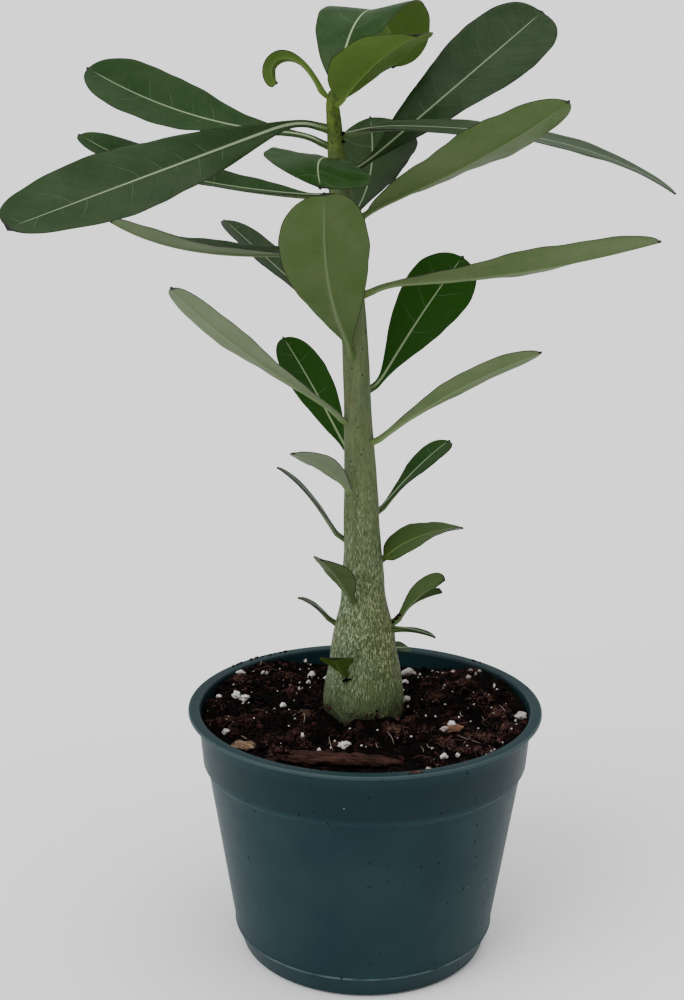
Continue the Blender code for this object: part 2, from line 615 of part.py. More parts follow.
def build_bark(piece, collection, material):
    """A split of bark: a long box with uneven sides that lies flat on its bed."""
    name, middle, heading, length, width, thickness = piece
    parts = max(int(length / BARK_STEP), 2)
    draw = random.Random(name)
    bm = bmesh.new()
    bmesh.ops.create_grid(bm, x_segments=parts, y_segments=2, size=0.5)
    grown = bmesh.ops.extrude_face_region(bm, geom=bm.faces[:])
    raised = {element for element in grown["geom"] if isinstance(element, bmesh.types.BMVert)}
    for vert in bm.verts:
        end = 1 - BARK_END_TAPER * abs(2 * vert.co.x) ** 3
        bow = BARK_BOW * width * math.sin(BARK_BOW_TURN * vert.co.x + BARK_BOW_START)
        vert.co.y = vert.co.y * width * end * draw.uniform(*BARK_WIDTH_PLAY) + bow
        vert.co.x *= length
        if vert in raised:
            crown = 1 - BARK_CROWN * abs(2 * (vert.co.y - bow) / width) ** 2
            vert.co.z = thickness * crown * draw.uniform(*BARK_THICKNESS_PLAY)
        else:
            vert.co.z = 0.0
    bmesh.ops.recalc_face_normals(bm, faces=bm.faces)
    bmesh.ops.triangulate(bm, faces=bm.faces)
    bmesh.ops.scale(bm, vec=(MM, MM, MM), verts=bm.verts)
    obj = add_object(name, mesh_from_bmesh(name, bm), collection, material, BARK_SHARP_ANGLE)
    obj.location = (middle[0] * MM, middle[1] * MM, (bark_bed(piece) + GAP) * MM)
    obj.rotation_euler = (0.0, 0.0, math.radians(heading))
    return obj


def main():
    clear_scene()
    parts = new_collection("potted_desert_rose")
    cutters = new_collection("cutters")
    pot_plastic = principled("pot_plastic", (0.02, 0.075, 0.085), 0.42)
    soil_mix = principled("soil_mix", (0.035, 0.02, 0.014), 0.95)
    stem_bark = principled("stem_bark", (0.2, 0.25, 0.14), 0.7)
    leaf_green = principled("leaf_green", (0.05, 0.13, 0.05), 0.4)
    young_leaf_green = principled("young_leaf_green", (0.12, 0.22, 0.03), 0.4)
    bark_brown = principled("bark_brown", (0.13, 0.06, 0.035), 0.9)
    build_pot(parts, cutters, pot_plastic)
    build_soil(parts, soil_mix)
    build_stem(parts, stem_bark)
    for form in LEAVES:
        young = form["name"] in ("leaf_crown_front", "leaf_crown_hook")
        build_leaf(form, parts, young_leaf_green if young else leaf_green)
    for piece in BARK:
        build_bark(piece, parts, bark_brown)


main()
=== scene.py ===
import math
import random
from functools import partialmethod

import bpy
import numpy as np
from mathutils import Matrix, Vector, noise


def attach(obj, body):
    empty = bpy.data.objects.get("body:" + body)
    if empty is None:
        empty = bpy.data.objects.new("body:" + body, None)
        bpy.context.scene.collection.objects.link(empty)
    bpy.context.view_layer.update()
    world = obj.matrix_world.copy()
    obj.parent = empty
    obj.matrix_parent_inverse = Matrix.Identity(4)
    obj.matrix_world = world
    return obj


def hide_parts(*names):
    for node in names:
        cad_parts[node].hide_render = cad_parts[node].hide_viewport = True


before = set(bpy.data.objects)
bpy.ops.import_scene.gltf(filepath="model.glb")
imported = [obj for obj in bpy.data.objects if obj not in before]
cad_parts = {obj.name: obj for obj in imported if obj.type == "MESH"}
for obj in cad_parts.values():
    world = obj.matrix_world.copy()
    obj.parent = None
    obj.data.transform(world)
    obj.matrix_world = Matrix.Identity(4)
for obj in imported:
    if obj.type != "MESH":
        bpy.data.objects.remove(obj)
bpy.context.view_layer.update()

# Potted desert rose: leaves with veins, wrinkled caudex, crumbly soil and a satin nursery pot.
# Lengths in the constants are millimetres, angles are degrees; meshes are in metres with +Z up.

MM = 0.001
BODY = "root"

# Pot
RIM_RADIUS = 82.5
POT_HEIGHT = 118.0
LIP_THICKNESS = 1.6
WALL = 1.2
BAND_TOP_RADIUS = 78.0
BAND_BOTTOM_RADIUS = 75.9
BAND_BOTTOM_Z = 92.0
BAND_STEP = 2.0
SEAM_RADIUS = 61.6
SEAM_Z = 10.9
FOOT_RADIUS = 57.0
FOOT_WIDTH = 5.0
FLOOR_LIFT = 3.0
CENTRE_PAD_RADIUS = 14.0
CHAMFER = 2.0
DRAIN_HOLES = 8
DRAIN_HOLE_RADIUS = 4.5
DRAIN_RING_RADIUS = 36.0
POT_SEGMENTS = 192

# Soil
SOIL_STEM_Z = 112.0
SOIL_FALL = 1.4
SOIL_INNER = 16.5
SOIL_OUTER = 76.3
SOIL_RINGS = 120
SOIL_SEGMENTS = 336
SOIL_SIDE = ((73.9, 93.0), (71.7, 89.6), (58.0, 7.0), (55.2, 2.0), (16.0, 4.6), (12.0, 2.0))
SOIL_HOLE = ((3.5, 45.0), (12.0, 66.0), (17.0, 92.0))
SOIL_HOLE_Z = 44.5
SOIL_BELOW_RIM = 0.6
STEM_CLEAR = 19.5
WALL_CLEAR = 75.5
SOIL_SEED = 11
CRUMBS = 2700
CRUMB_RADIUS = 0.7
LARGE_CRUMB = 1.5
LARGEST_CRUMB = 1.8
CLUMP_PARTS = 44
CLUMP_FIBRES = 58
CLUMP_RISE = 0.22
FIBRES = 260
FIBRE_SEED = 23
FIBRE_STEPS = 6
SMALL_GRAINS = 165
GRAINS_IN_VIEW = (0.4, 1.2)
GRAINS_BEHIND = (1.2, 3.8)
STRAW_TONE = 1.3
SOIL_ALONG_WALL = (
    (-180, 113), (-150, 110), (-90, 108), (-30, 110), (0, 113), (25, 116), (42, 116), (52, 113), (62, 110),
    (85, 108.5), (104, 109), (118, 113), (132, 116), (155, 116), (180, 113),
)

# Larger perlite grains in view: place (x, y), width, height
PERLITE = (
    (-62, 41, 4.3, 2.1), (-70, 13, 2.7, 1.6), (-62, 15, 4.1, 3.7), (-58, 14, 4.6, 2.3), (-51, 42, 1.9, 1.9),
    (-49, 43, 1.7, 1.9), (-31, 70, 2, 2.5), (-27, 46, 3.8, 3.8), (-28, 35, 2.1, 2.3), (-32, 24, 1.4, 1.9),
    (-39, 7, 2.7, 2.3), (-63, -23, 3.5, 2.6), (-28, -28, 1.7, 2.6), (-20, -42, 1.7, 2.5),
    (-17, -46, 2.5, 1.3), (-11, -32, 2.6, 1.3), (-9, -38, 5.1, 3), (22, 58, 6.8, 4.8), (28, 58, 1.2, 1.9),
    (20, 44, 3.3, 1.9), (20, 19, 3.7, 2.1), (44, 49, 3.3, 2.1), (53, 48, 2.4, 1.2), (57, 45, 1.9, 1.9),
    (55, 42, 1.4, 1.9), (51, 38, 2.6, 1.9), (63, 27, 1.2, 2.3), (73, -3, 5.3, 3.1), (36, -24, 3.4, 2.2),
    (35, -45, 3.3, 3.3), (41, -44, 2.1, 1.5), (28, -55, 2.5, 1.4), (40, -17, 3.8, 1.6),
)

# Clumps of peat on the soil: place (x, y), reach and how pale they are
CLUMPS = (
    (-62, 33, 6, 0.8), (-52, 51, 4, 0.5), (-44, 63, 4, 0.5), (-37, 39, 4, 0.5), (-36, 23, 4, 0.5),
    (-27, -4, 3, 0.8), (-56, -10, 5, 0.5), (-48, -5, 3, 0.4), (-31, -26, 4, 0.6), (-42, -31, 4, 0.5),
    (-51, -37, 2, 0.5), (-39, -47, 3, 0.8), (-27, -36, 4, 0.5), (-18, 8, 2, 0.6), (-14, -6, 3, 0.3),
    (3, -3, 5, 0.5), (14, -10, 3, 0.6), (14, -22, 4, 0.8), (21, -10, 3, 0.6), (28, -19, 4, 0.5),
    (33, 19, 4, 0.8), (40, 32, 4, 0.6), (30, 36, 4, 0.5), (43, 47, 5, 0.6), (54, 48, 5, 0.5),
    (49, 33, 4, 0.7), (64, 49, 5, 0.5), (57, 17, 4, 0.7), (62, 0, 5, 0.8), (65, -12, 3, 0.7),
    (53, -25, 4, 0.8), (61, -25, 4, 0.6), (69, -18, 3, 0.5), (37, -31, 4, 0.8), (44, -38, 4, 0.7),
    (50, -38, 3, 0.6), (29, -50, 2, 0.4), (2, -34, 3, 0.5), (70, 34, 4, 0.5), (-71, 6, 4, 0.4),
    (-66, -13, 3, 0.5), (-60, -23, 3, 0.4), (-7, -26, 3, 0.3), (-42, -53, 4, 0.9), (-42, -57, 3, 0.7),
)

# Dark hollows between the clumps: place (x, y) and reach
HOLLOWS = (
    (-56, 25, 4.9), (-64, -2, 3.8), (-34, -14, 4.6), (40, 6, 4.3), (51, -2, 4.2), (21, -42, 3.5),
    (25, 12, 3.8), (55, 28, 2.9), (-8, -47, 3.1), (-20, -31, 2.7), (-31, 6, 2.9), (-49, 12, 3.4),
    (11, -36, 3.1), (35, -13, 2.8), (-73, 20, 3.9),
)
HOLLOW_DEPTH = 3.4

# Straws on the soil: from (x, y) to (x, y)
STRAWS = (
    (22, 7, 25, 0), (10, -25, 13, -39), (42, -24, 52, -33), (46, -23, 48, -29), (45, 2, 46, -4),
    (55, 0, 56, -6), (-30, 0, -28, -17), (-30, -2, -34, -9), (-16, -27, -14, -42), (-56, -26, -53, -30),
    (25, -35, 26, -42), (28, -32, 30, -36), (-53, 57, -53, 49), (5, -33, 6, -39), (-11, 0, -9, -15),
    (64, 8, 66, 0), (-43, -34, -46, -39),
)

# Soil heaped against the stem: azimuth and height above the rest
SOIL_ROUND_STEM = (
    (-180, 4.0), (-152, 4.6), (-137, 4.2), (-128, 3.2), (-121, 1.8), (-114, 1.4), (-106, 3.2), (-97, 5.6),
    (-80, 6.6), (-62, 6.4), (-50, 5.2), (-40, 3.6), (-27, 2.2), (0, 1.0), (90, 1.0), (150, 3.4), (180, 4.0),
)
HEAP_BEGINS = 18.5
HEAP_REACH = 4.6

# Crumbs that stick to the stem, a leaf's foot and the lip: place, spread, number, tone
STUCK_CRUMBS = (
    ((-15.5, -10.5, 119.5), 2.2, 34, 0.6), ((-18.0, -4.0, 118.5), 1.8, 16, 0.5),
    ((4.0, -18.3, 118.8), 2.4, 26, 0.4), ((12.6, -2.4, 158.3), 0.8, 20, 0.2),
    ((14.2, -2.6, 160.8), 0.7, 18, 0.2), ((15.2, -2.7, 162.4), 0.6, 10, 0.2),
    ((22.0, -77.0, 118.2), 1.3, 30, 0.8), ((20.0, -77.6, 118.0), 1.0, 10, 0.5),
    ((-8.0, -15.8, 135.5), 1.2, 14, 0.2), ((-56.2, 58.7, 118.2), 1.8, 9, 0.2),
    ((-49.5, 63.5, 118.2), 1.8, 8, 0.2), ((-41.0, 69.5, 118.2), 1.6, 5, 0.2),
    ((-64.0, 50.0, 118.2), 1.6, 5, 0.2), ((56.0, 58.5, 118.2), 1.8, 5, 0.2),
    ((-11.6, -2.6, 377.0), 0.4, 6, 0.0), ((-11.2, -2.4, 373.6), 0.4, 6, 0.0),
    ((-37.4, -51.6, 116.0), 2.0, 80, 0.6), ((-34.0, -53.4, 116.6), 1.6, 30, 0.5),
)

# Stem: centre line (height, sideways) and radius (height, radius)
STEM_CENTRE = (
    (46, -0.9), (150, -0.9), (209, -2.3), (254, -4.3), (292, -6.2), (335, -10.0), (370, -14.4),
    (394, -16.8),
)
STEM_RADIUS = (
    (46, 3.0), (52, 6.5), (66, 11.5), (84, 16.0), (100, 18.4), (118, 18.7), (124, 18.4), (133, 17.2),
    (143, 15.5), (153, 14.2), (160, 12.7), (170, 10.5), (182, 9.3), (209, 8.1), (235, 7.1), (254, 6.3),
    (292, 5.8), (335, 5.0), (370, 4.4), (384, 4.1), (390, 3.6), (394, 2.2),
)
STEM_X = STEM_CENTRE[0][1]
STEM_SHOWN_Z = 100.0
STEM_SIDES = 112
STEM_ROWS = 460
BURIED_ROWS = 16
CAUDEX_LOBE = 0.025
CROWN_WAIST = 1.0
WAIST_BEGINS = (365.0, 377.0)
LOBES_BEGIN = (116.0, 130.0)
LOBES_END = (165.0, 215.0)
COARSE_ENDS = (190.0, 250.0)
OLD_BARK = (245.0, 165.0)
YOUNG_BARK = (335.0, 385.0)
SOILED_BARK = (124.0, 113.0)

# Old leaf scars on the stem, and their places: height, azimuth
SCAR_WIDTH = 1.9
SCAR_HEIGHT = 1.3
SCAR_RIM = 0.55
SCAR_DIP = 0.2
SCARS = (
    (146, 262), (163, 300), (178, 262), (186, 315), (205, 275), (226, 290), (232, 240), (268, 300),
    (274, 225), (312, 280), (330, 250), (190, 60), (215, 110), (160, 120), (245, 85), (300, 60),
)

# Leaves
LARGE_LEAF = 60.0
LARGE_LEAF_ROWS = 72
SMALL_LEAF_ROWS = 44
HALF_COLUMNS = 13
PETIOLE_HALF_WIDTH = 1.6
PETIOLE_THICKNESS = 1.5
PETIOLE_SHARE = 0.07
ARCH_SHARE = 0.2
BLADE_THICKNESS = 0.65
TIP_HALF_WIDTH = 0.35
MUCRO = 0.8
SWELL = 0.9
SWELL_REACH = 2.2
MARGIN_UNEVEN = 0.03
SEAT_REACH = 4.5
SEAT_DEPTH = 0.7
MIDRIB_STEPS = 400
NOTCH_SPREAD = 1.4
NOTCH_SIDE = 0.5
NOTCH_REACH = 6


def leaf(name, height, azimuth, length, width, rise, droop=0, sweep=0, roll=0, twist=0, **shape):
    """One leaf: it leaves the stem at height and azimuth and climbs at rise, which lessens by droop.

    tone is how bright it is, and hue goes from rich green (-1) to grey green (1).
    """
    form = dict(arch=0, bend=1.4, fold=8, peak=0.68, blunt=0.5, wave=0.6, waves=2.5, notch=0, tone=1, hue=0)
    form.update(shape, name="leaf_" + name, height=height, azimuth=azimuth, length=length, width=width,
                rise=rise, droop=droop, sweep=sweep, roll=roll, twist=twist)
    return form


LEAVES = (
    leaf("crown_back", 390, 63, 92, 43, 74, 182, bend=1.9, blunt=0.45, peak=0.62),
    leaf("crown_front", 388, 311, 55, 42, 42, 29, roll=2, twist=3, bend=1, fold=9, peak=0.6,
         blunt=0.42, arch=20),
    leaf("crown_hook", 391, 197, 41, 9.8, 60, 216, sweep=11, roll=28, twist=32, bend=2.6, fold=6,
         peak=0.86, blunt=0.38, arch=22, tone=0.88),
    leaf("upper_left_back", 371, 158, 120, 33, -1, -30, sweep=8, roll=-37, twist=-5, bend=1.03,
         fold=14, peak=0.74, blunt=0.53, arch=42, tone=0.8, hue=-0.2),
    leaf("upper_left", 378.5, 200, 146, 40, -20, -2, sweep=15, roll=-82, twist=65, bend=0.4, peak=0.8,
         blunt=0.3, arch=48, tone=0.85, hue=0.3),
    leaf("mid_left_back", 351, 164, 126, 26, 3.5, -24, sweep=-8, roll=-16, twist=-6, bend=1.85,
         fold=16, peak=0.63, blunt=0.47, arch=-6, tone=0.9, hue=-0.3),
    leaf("mid_left", 324, 177, 102, 25, -3.5, -32, sweep=-7, roll=-20, twist=36, bend=2.2, fold=22,
         peak=0.69, arch=29, tone=0.9, hue=0.3),
    leaf("front", 280, 250, 96, 37, 38, -23, sweep=26, roll=3, twist=10, peak=0.7, blunt=0.44, arch=45,
         tone=0.88, hue=-0.3),
    leaf("back_left", 296, 133, 96, 20, 27, roll=-3, twist=3, fold=14, peak=0.7, arch=-27, tone=0.95,
         hue=0.2),
    leaf("toward_front", 366.3, 258, 63.5, 44, 4, 36, sweep=23, roll=-10, twist=-5, bend=1.75, fold=4,
         peak=0.75, blunt=0.57, arch=-5, tone=0.85, hue=-0.2),
    leaf("toward_back", 342, 71, 79, 46, 24, -30, sweep=30, roll=-33, twist=16, bend=1.5, fold=3,
         peak=0.61, blunt=0.59, arch=-34, tone=0.85, hue=0.1),
    leaf("upper_right_back", 360.5, 34, 137, 38.5, 35, 5, sweep=14, roll=26, twist=12, fold=7,
         peak=0.72, blunt=0.39, arch=-13, tone=0.65, hue=-0.1),
    leaf("upper_right", 376.3, 2, 147, 28.5, 0, 33, sweep=-2, roll=15, twist=-3.5, bend=2.05, fold=4,
         peak=0.52, blunt=0.38, arch=22, hue=0.5),
    leaf("right_front", 340.5, 339, 105, 44, 23, -10, sweep=-12, roll=-5, twist=-12, bend=1.9, fold=9,
         peak=0.56, blunt=0.55, arch=18, tone=0.95, hue=-0.2),
    leaf("mid_right", 308, 353, 128, 30, 0, -16, sweep=-2, roll=-38, twist=22, bend=0.8, fold=14,
         peak=0.7, blunt=0.53, arch=40, tone=1.05, hue=0.1),
    leaf("right_back", 265.5, 38, 79, 31.5, 52, 8, roll=36, twist=4, fold=5, peak=0.72, arch=-35,
         tone=1.05, hue=-1),
    leaf("lower_left", 251.5, 210, 103, 24, 32, -13, sweep=-3, roll=17, bend=2, fold=4, peak=0.75,
         blunt=0.44, arch=26, tone=1.1, hue=0.6),
    leaf("lower_left_back", 236, 127, 70.5, 21, 45, 5, sweep=3, roll=-16, twist=-6, fold=11, peak=0.65,
         arch=-13, hue=-1),
    leaf("lower_right", 243, 335, 89, 18, 38, 17, roll=-25, tone=1.1, hue=0.25),
    leaf("small_right", 209, 29, 49.5, 16, 45, 21, sweep=10, roll=-5, twist=12, bend=1.5, peak=0.73,
         hue=-0.5),
    leaf("small_left", 219.5, 229, 45, 16, 50, 34, roll=17, twist=-2, bend=0.95, fold=6, peak=0.65,
         arch=34, tone=1.1, hue=0.9),
    leaf("thin_left", 197.5, 180, 44.5, 9, 57, 26, bend=2.3, fold=4, arch=-11, tone=0.8, hue=0.7),
    leaf("folded_right", 187, 0, 40.5, 21, 62, 60, sweep=12, roll=36, twist=-48, bend=0.52, fold=12,
         peak=0.5, blunt=0.42, tone=0.68, hue=1),
    leaf("small_front", 170.4, 245, 42.5, 18, 51, 21, roll=-2, twist=-7, fold=10, peak=0.66, arch=-4,
         tone=0.8, hue=0.1),
    leaf("low_right", 157.5, 352, 30.5, 14, 60, 38, sweep=-26, roll=-50, twist=-32, bend=1.7, fold=40,
         peak=0.82, blunt=0.3, arch=-26, notch=3.4, tone=0.62, hue=-0.5),
    leaf("low_right_thin", 156.2, 345, 19.5, 6.5, 5, 25, twist=-6, bend=1.1, arch=10, tone=0.8),
    leaf("low_left_thin", 157.3, 182, 20.5, 6.5, 50, 34, bend=1.7, fold=4, arch=-3, tone=0.7, hue=0.5),
    leaf("low_back", 140, 50, 18, 9, -8, 10, roll=25, tone=0.8),
    leaf("low_stub", 137, 240, 14, 17, 50, roll=12, blunt=0.15, peak=0.9, tone=0.5, hue=-0.2),
)
YOUNG_LEAVES = ("leaf_crown_front", "leaf_crown_hook")
PALE_BELOW_LEAVES = ("leaf_crown_back", "leaf_low_stub")
OLIVE_LEAVES = ("leaf_folded_right",)

# Faces of a leaf: name, colours (dark, light, grey, rich, lines, midrib, foot), half width of the midrib,
# strength of the side veins, roughness
LEAF_FACES = (
    ("leaf_upper_face",
     ((0.0085, 0.035, 0.0034), (0.022, 0.053, 0.013), (0.034, 0.056, 0.026), (0.013, 0.062, 0.0025),
      (0.085, 0.14, 0.066), (0.27, 0.345, 0.2), (0.075, 0.125, 0.03)), 0.45, 0.5, 0.42),
    ("leaf_under_face",
     ((0.064, 0.112, 0.029), (0.092, 0.134, 0.05), (0.15, 0.18, 0.12), (0.056, 0.115, 0.023),
      (0.09, 0.135, 0.052), (0.13, 0.18, 0.08), (0.095, 0.15, 0.04)), 0.8, 0.3, 0.55),
    ("young_leaf_upper_face",
     ((0.062, 0.11, 0.008), (0.08, 0.13, 0.011), (0.058, 0.112, 0.03), (0.06, 0.12, 0.006),
      (0.13, 0.19, 0.04), (0.16, 0.24, 0.06), (0.11, 0.17, 0.03)), 0.4, 0.3, 0.45),
    ("young_leaf_under_face",
     ((0.082, 0.155, 0.024), (0.104, 0.178, 0.036), (0.09, 0.16, 0.026), (0.07, 0.16, 0.01),
      (0.12, 0.19, 0.03), (0.14, 0.22, 0.05), (0.11, 0.17, 0.03)), 0.6, 0.25, 0.5),
)
VEIN_SPACING = 10.5

# Gloss of the surfaces
LEAF_GLOSS = 0.085
STEM_GLOSS = 0.15
POT_GLOSS = 0.1
SOIL_GLOSS = 0.06

# Light: name, direction it comes from, strength in watts per square metre and width in degrees
LAMPS = (
    ("lamp_left", (-1.1, -1.0, 1.28), 2.15, 44.0),
    ("lamp_top", (0.3, -0.1, 1.88), 1.8, 56.0),
)
SKY_LIGHT = 0.75
SKY_SEEN = 1.5

# Floor, in metres: just under the pot
FLOOR_REACH = 9.0
FLOOR_PLACE = (0.0, 0.0, -0.0002)

# Camera: its place, then its turns in degrees
CAMERA_PLACE = (0.0, -632.0, 370.5)
CAMERA_TURNS = ((1.02, "Z"), (90.0 - 13.74, "X"), (0.32, "Z"))
CAMERA_LENS = 51.66

# Bark on the soil: middle (x, y), heading, length, width, thickness
BARK = (
    ("bark_stick", (-11.0, -53.5), -7, 55.0, 8.0, 5.0),
    ("bark_chip_left", (-54.0, -38.5), -30, 11.0, 7.0, 3.0),
    ("bark_chip_right", (40.0, -19.5), 17, 10.0, 6.0, 3.0),
)
BARK_SIDES = 40
BED_LEVEL = 2.0
BED_SOFT_EDGE = 8.0
BED_LIFT = 0.4
GAP = 0.3
END_SPLINTERS = 3.2


def smooth_through(points, at):
    """Values on a smooth curve through points (place, value)."""
    places, values = np.array(points, float).T
    slopes = np.gradient(values, places)
    at = np.clip(at, places[0], places[-1])
    low = np.clip(np.searchsorted(places, at) - 1, 0, len(places) - 2)
    span = places[low + 1] - places[low]
    t = (at - places[low]) / span
    start = (2 * t**3 - 3 * t**2 + 1) * values[low] + (t**3 - 2 * t**2 + t) * span * slopes[low]
    end = (3 * t**2 - 2 * t**3) * values[low + 1] + (t**3 - t**2) * span * slopes[low + 1]
    return start + end


def ramp(value, low, high):
    """Rises evenly from 0 at low to 1 at high."""
    return np.clip((value - low) / (high - low), 0.0, 1.0)


def relief(points, size, shift=0.0):
    """Smooth uneven values between about -1 and 1, one for each point, that change over the given size."""
    points = np.asarray(points, float)
    move = Vector((shift, 2.0 * shift, 3.0 * shift))
    values = [noise.noise(Vector(point) / size + move) for point in points.reshape(-1, 3)]
    return np.array(values).reshape(points.shape[:-1])


def stack(*parts):
    """Points or other rows from their parts, which may be single numbers or grids."""
    return np.stack(np.broadcast_arrays(*parts), -1)


def around(radius, angle, height, middle=0.0):
    """Points at a radius and an angle round an upright axis that stands sideways by middle."""
    return stack(radius * np.cos(angle) + middle, radius * np.sin(angle), height)


def all_round(count):
    """Angles evenly round a circle."""
    return np.linspace(0.0, 2 * np.pi, count, endpoint=False)


def put(name, data):
    """A new object with this data in the scene."""
    obj = bpy.data.objects.new(name, data)
    bpy.context.scene.collection.objects.link(obj)
    return obj


def make_object(name, points, faces, slot, materials, face_materials=None, attributes=None, smooth=True):
    """A piece of the model from points in millimetres."""
    mesh = bpy.data.meshes.new(name)
    mesh.from_pydata((np.asarray(points) * MM).tolist(), [], faces)
    for material in materials:
        mesh.materials.append(material)
    if face_materials is not None:
        mesh.polygons.foreach_set("material_index", face_materials)
    for label, values in (attributes or {}).items():
        layer = mesh.attributes.new(label, "FLOAT_VECTOR", "POINT")
        layer.data.foreach_set("vector", np.asarray(values, np.float32).ravel())
    mesh.polygons.foreach_set("use_smooth", [smooth] * len(faces))
    mesh.update()
    obj = put(name, mesh)
    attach(obj, BODY)
    return obj


def grid_faces(rows, columns, wrap=False, first=0, flip=False):
    """Quads over a grid of points laid out row by row."""
    row = np.arange(rows - 1)[:, None] * columns
    column = np.arange(columns if wrap else columns - 1)[None, :]
    after = (column + 1) % columns
    corners = [row + column, row + after, row + columns + after, row + columns + column]
    if flip:
        corners.reverse()
    return (stack(*corners).reshape(-1, 4) + first).tolist()


def closed_shell(rings, first_middle, last_middle, flip=False):
    """Points and faces of a shell of rings of points that a middle point closes at each end."""
    rows, sides = rings.shape[:2]
    count = rows * sides
    faces = grid_faces(rows, sides, wrap=True, flip=flip)
    for side in range(sides):
        after = (side + 1) % sides
        ends = [(after, side, count), (count - sides + side, count - sides + after, count + 1)]
        faces += [end[::-1] for end in ends] if flip else ends
    return np.concatenate([rings.reshape(-1, 3), [first_middle, last_middle]]), faces


class Value:
    """A number, place or colour that differs over a surface. Working with it adds nodes to its paint."""

    def __init__(self, paint, socket):
        self.paint = paint
        self.socket = socket

    def math(self, operation, *others):
        return self.paint.node("Math", dict(enumerate((self, *others))), operation=operation)

    __add__ = partialmethod(math, "ADD")
    __sub__ = partialmethod(math, "SUBTRACT")
    __mul__ = partialmethod(math, "MULTIPLY")
    __truediv__ = partialmethod(math, "DIVIDE")

    def step(self, low, high):
        """Rises smoothly from 0 at low to 1 at high; high may lie below low."""
        inputs = {"Value": self, "From Min": low, "From Max": high}
        return self.paint.node("MapRange", inputs, interpolation_type="SMOOTHSTEP")

    def spread(self, low, high):
        """Maps 0..1 onto low..high."""
        return self.paint.node("MapRange", {"Value": self, "To Min": low, "To Max": high})


class Paint:
    """One material, built from nodes. Lengths are millimetres."""

    def __init__(self, name):
        self.material = bpy.data.materials.new(name)
        self.material.use_nodes = True
        self.tree = self.material.node_tree
        self.shader = self.tree.nodes["Principled BSDF"]
        self.place = self.node("TexCoord", {}, "Object")

    def node(self, kind, inputs, output=0, **settings):
        """Adds a node, fills its inputs and gives one of its outputs."""
        made = self.tree.nodes.new("ShaderNode" + kind)
        for label, value in settings.items():
            setattr(made, label, value)
        for label, value in inputs.items():
            self.plug(made.inputs[label], value)
        return Value(self, made.outputs[output])

    def plug(self, socket, value):
        if isinstance(value, Value):
            self.tree.links.new(value.socket, socket)
        elif socket.type == "RGBA":
            socket.default_value = (*value, 1.0)
        else:
            socket.default_value = value

    def vector(self, operation, *values):
        return self.node("VectorMath", dict(enumerate(values)), operation=operation)

    def scale(self, colour, share):
        return self.node("VectorMath", {0: colour, "Scale": share}, operation="SCALE")

    def mix(self, share, one, other):
        return self.node("Mix", {0: share, 6: one, 7: other}, 2, data_type="RGBA")

    def base(self, share, one, other):
        """The first coat, from one colour to another."""
        self.colour = self.mix(share, one, other)

    def cover(self, share, tint):
        """Lays a tint over the colour so far."""
        self.colour = self.mix(share, self.colour, tint)

    def shade(self, share):
        """Darkens or lightens the colour so far."""
        self.colour = self.scale(self.colour, share)

    def texture(self, kind, size, place, output, inputs, **settings):
        inputs = {"Vector": place or self.place, "Scale": 1.0 / (size * MM), **inputs}
        return self.node(kind, inputs, output, **settings)

    def noise(self, size, detail=3.0, roughness=0.5, place=None, output="Fac"):
        return self.texture("TexNoise", size, place, output, {"Detail": detail, "Roughness": roughness})

    def cells(self, size, feature="F1", place=None):
        """Distance to the points or the borders of cells, in cell sizes."""
        return self.texture("TexVoronoi", size, place, "Distance", {}, feature=feature)

    def specks(self, size, reach, share, place=None):
        """Round specks in a share of the cells; reach is their radius in cell sizes."""
        distance = self.cells(size, place=place)
        random_number = self.split(Value(self, distance.socket.node.outputs["Color"]))[0]
        return distance.step(reach, 0.6 * reach) * random_number.math("LESS_THAN", share)

    def split(self, source):
        first = self.node("SeparateXYZ", {0: source})
        return [Value(self, socket) for socket in first.socket.node.outputs]

    def millimetres(self):
        """The place on the piece, sideways, deep and high."""
        return self.split(self.scale(self.place, 1.0 / MM))

    def attribute(self, label):
        return self.split(self.node("Attribute", {}, "Vector", attribute_name=label))

    def warped(self, amount, size, upright=1.0):
        """The place, shifted unevenly by up to amount; an upright under 1 stretches what is laid on it."""
        uneven = self.noise(size, 2.0, output="Color")
        shift = self.scale(self.vector("SUBTRACT", uneven, (0.5, 0.5, 0.5)), 2.0 * amount * MM)
        return self.vector("MULTIPLY", self.vector("ADD", self.place, shift), (1.0, 1.0, upright))

    def finish(self, roughness, height, depth, gloss=0.5):
        """depth is the height of the relief in millimetres."""
        bump = self.node("Bump", {"Distance": depth * MM, "Height": height}, "Normal")
        sockets = {"Base Color": self.colour, "Roughness": roughness, "Normal": bump,
                   "Specular IOR Level": gloss}
        for label, value in sockets.items():
            self.plug(self.shader.inputs[label], value)
        return self.material


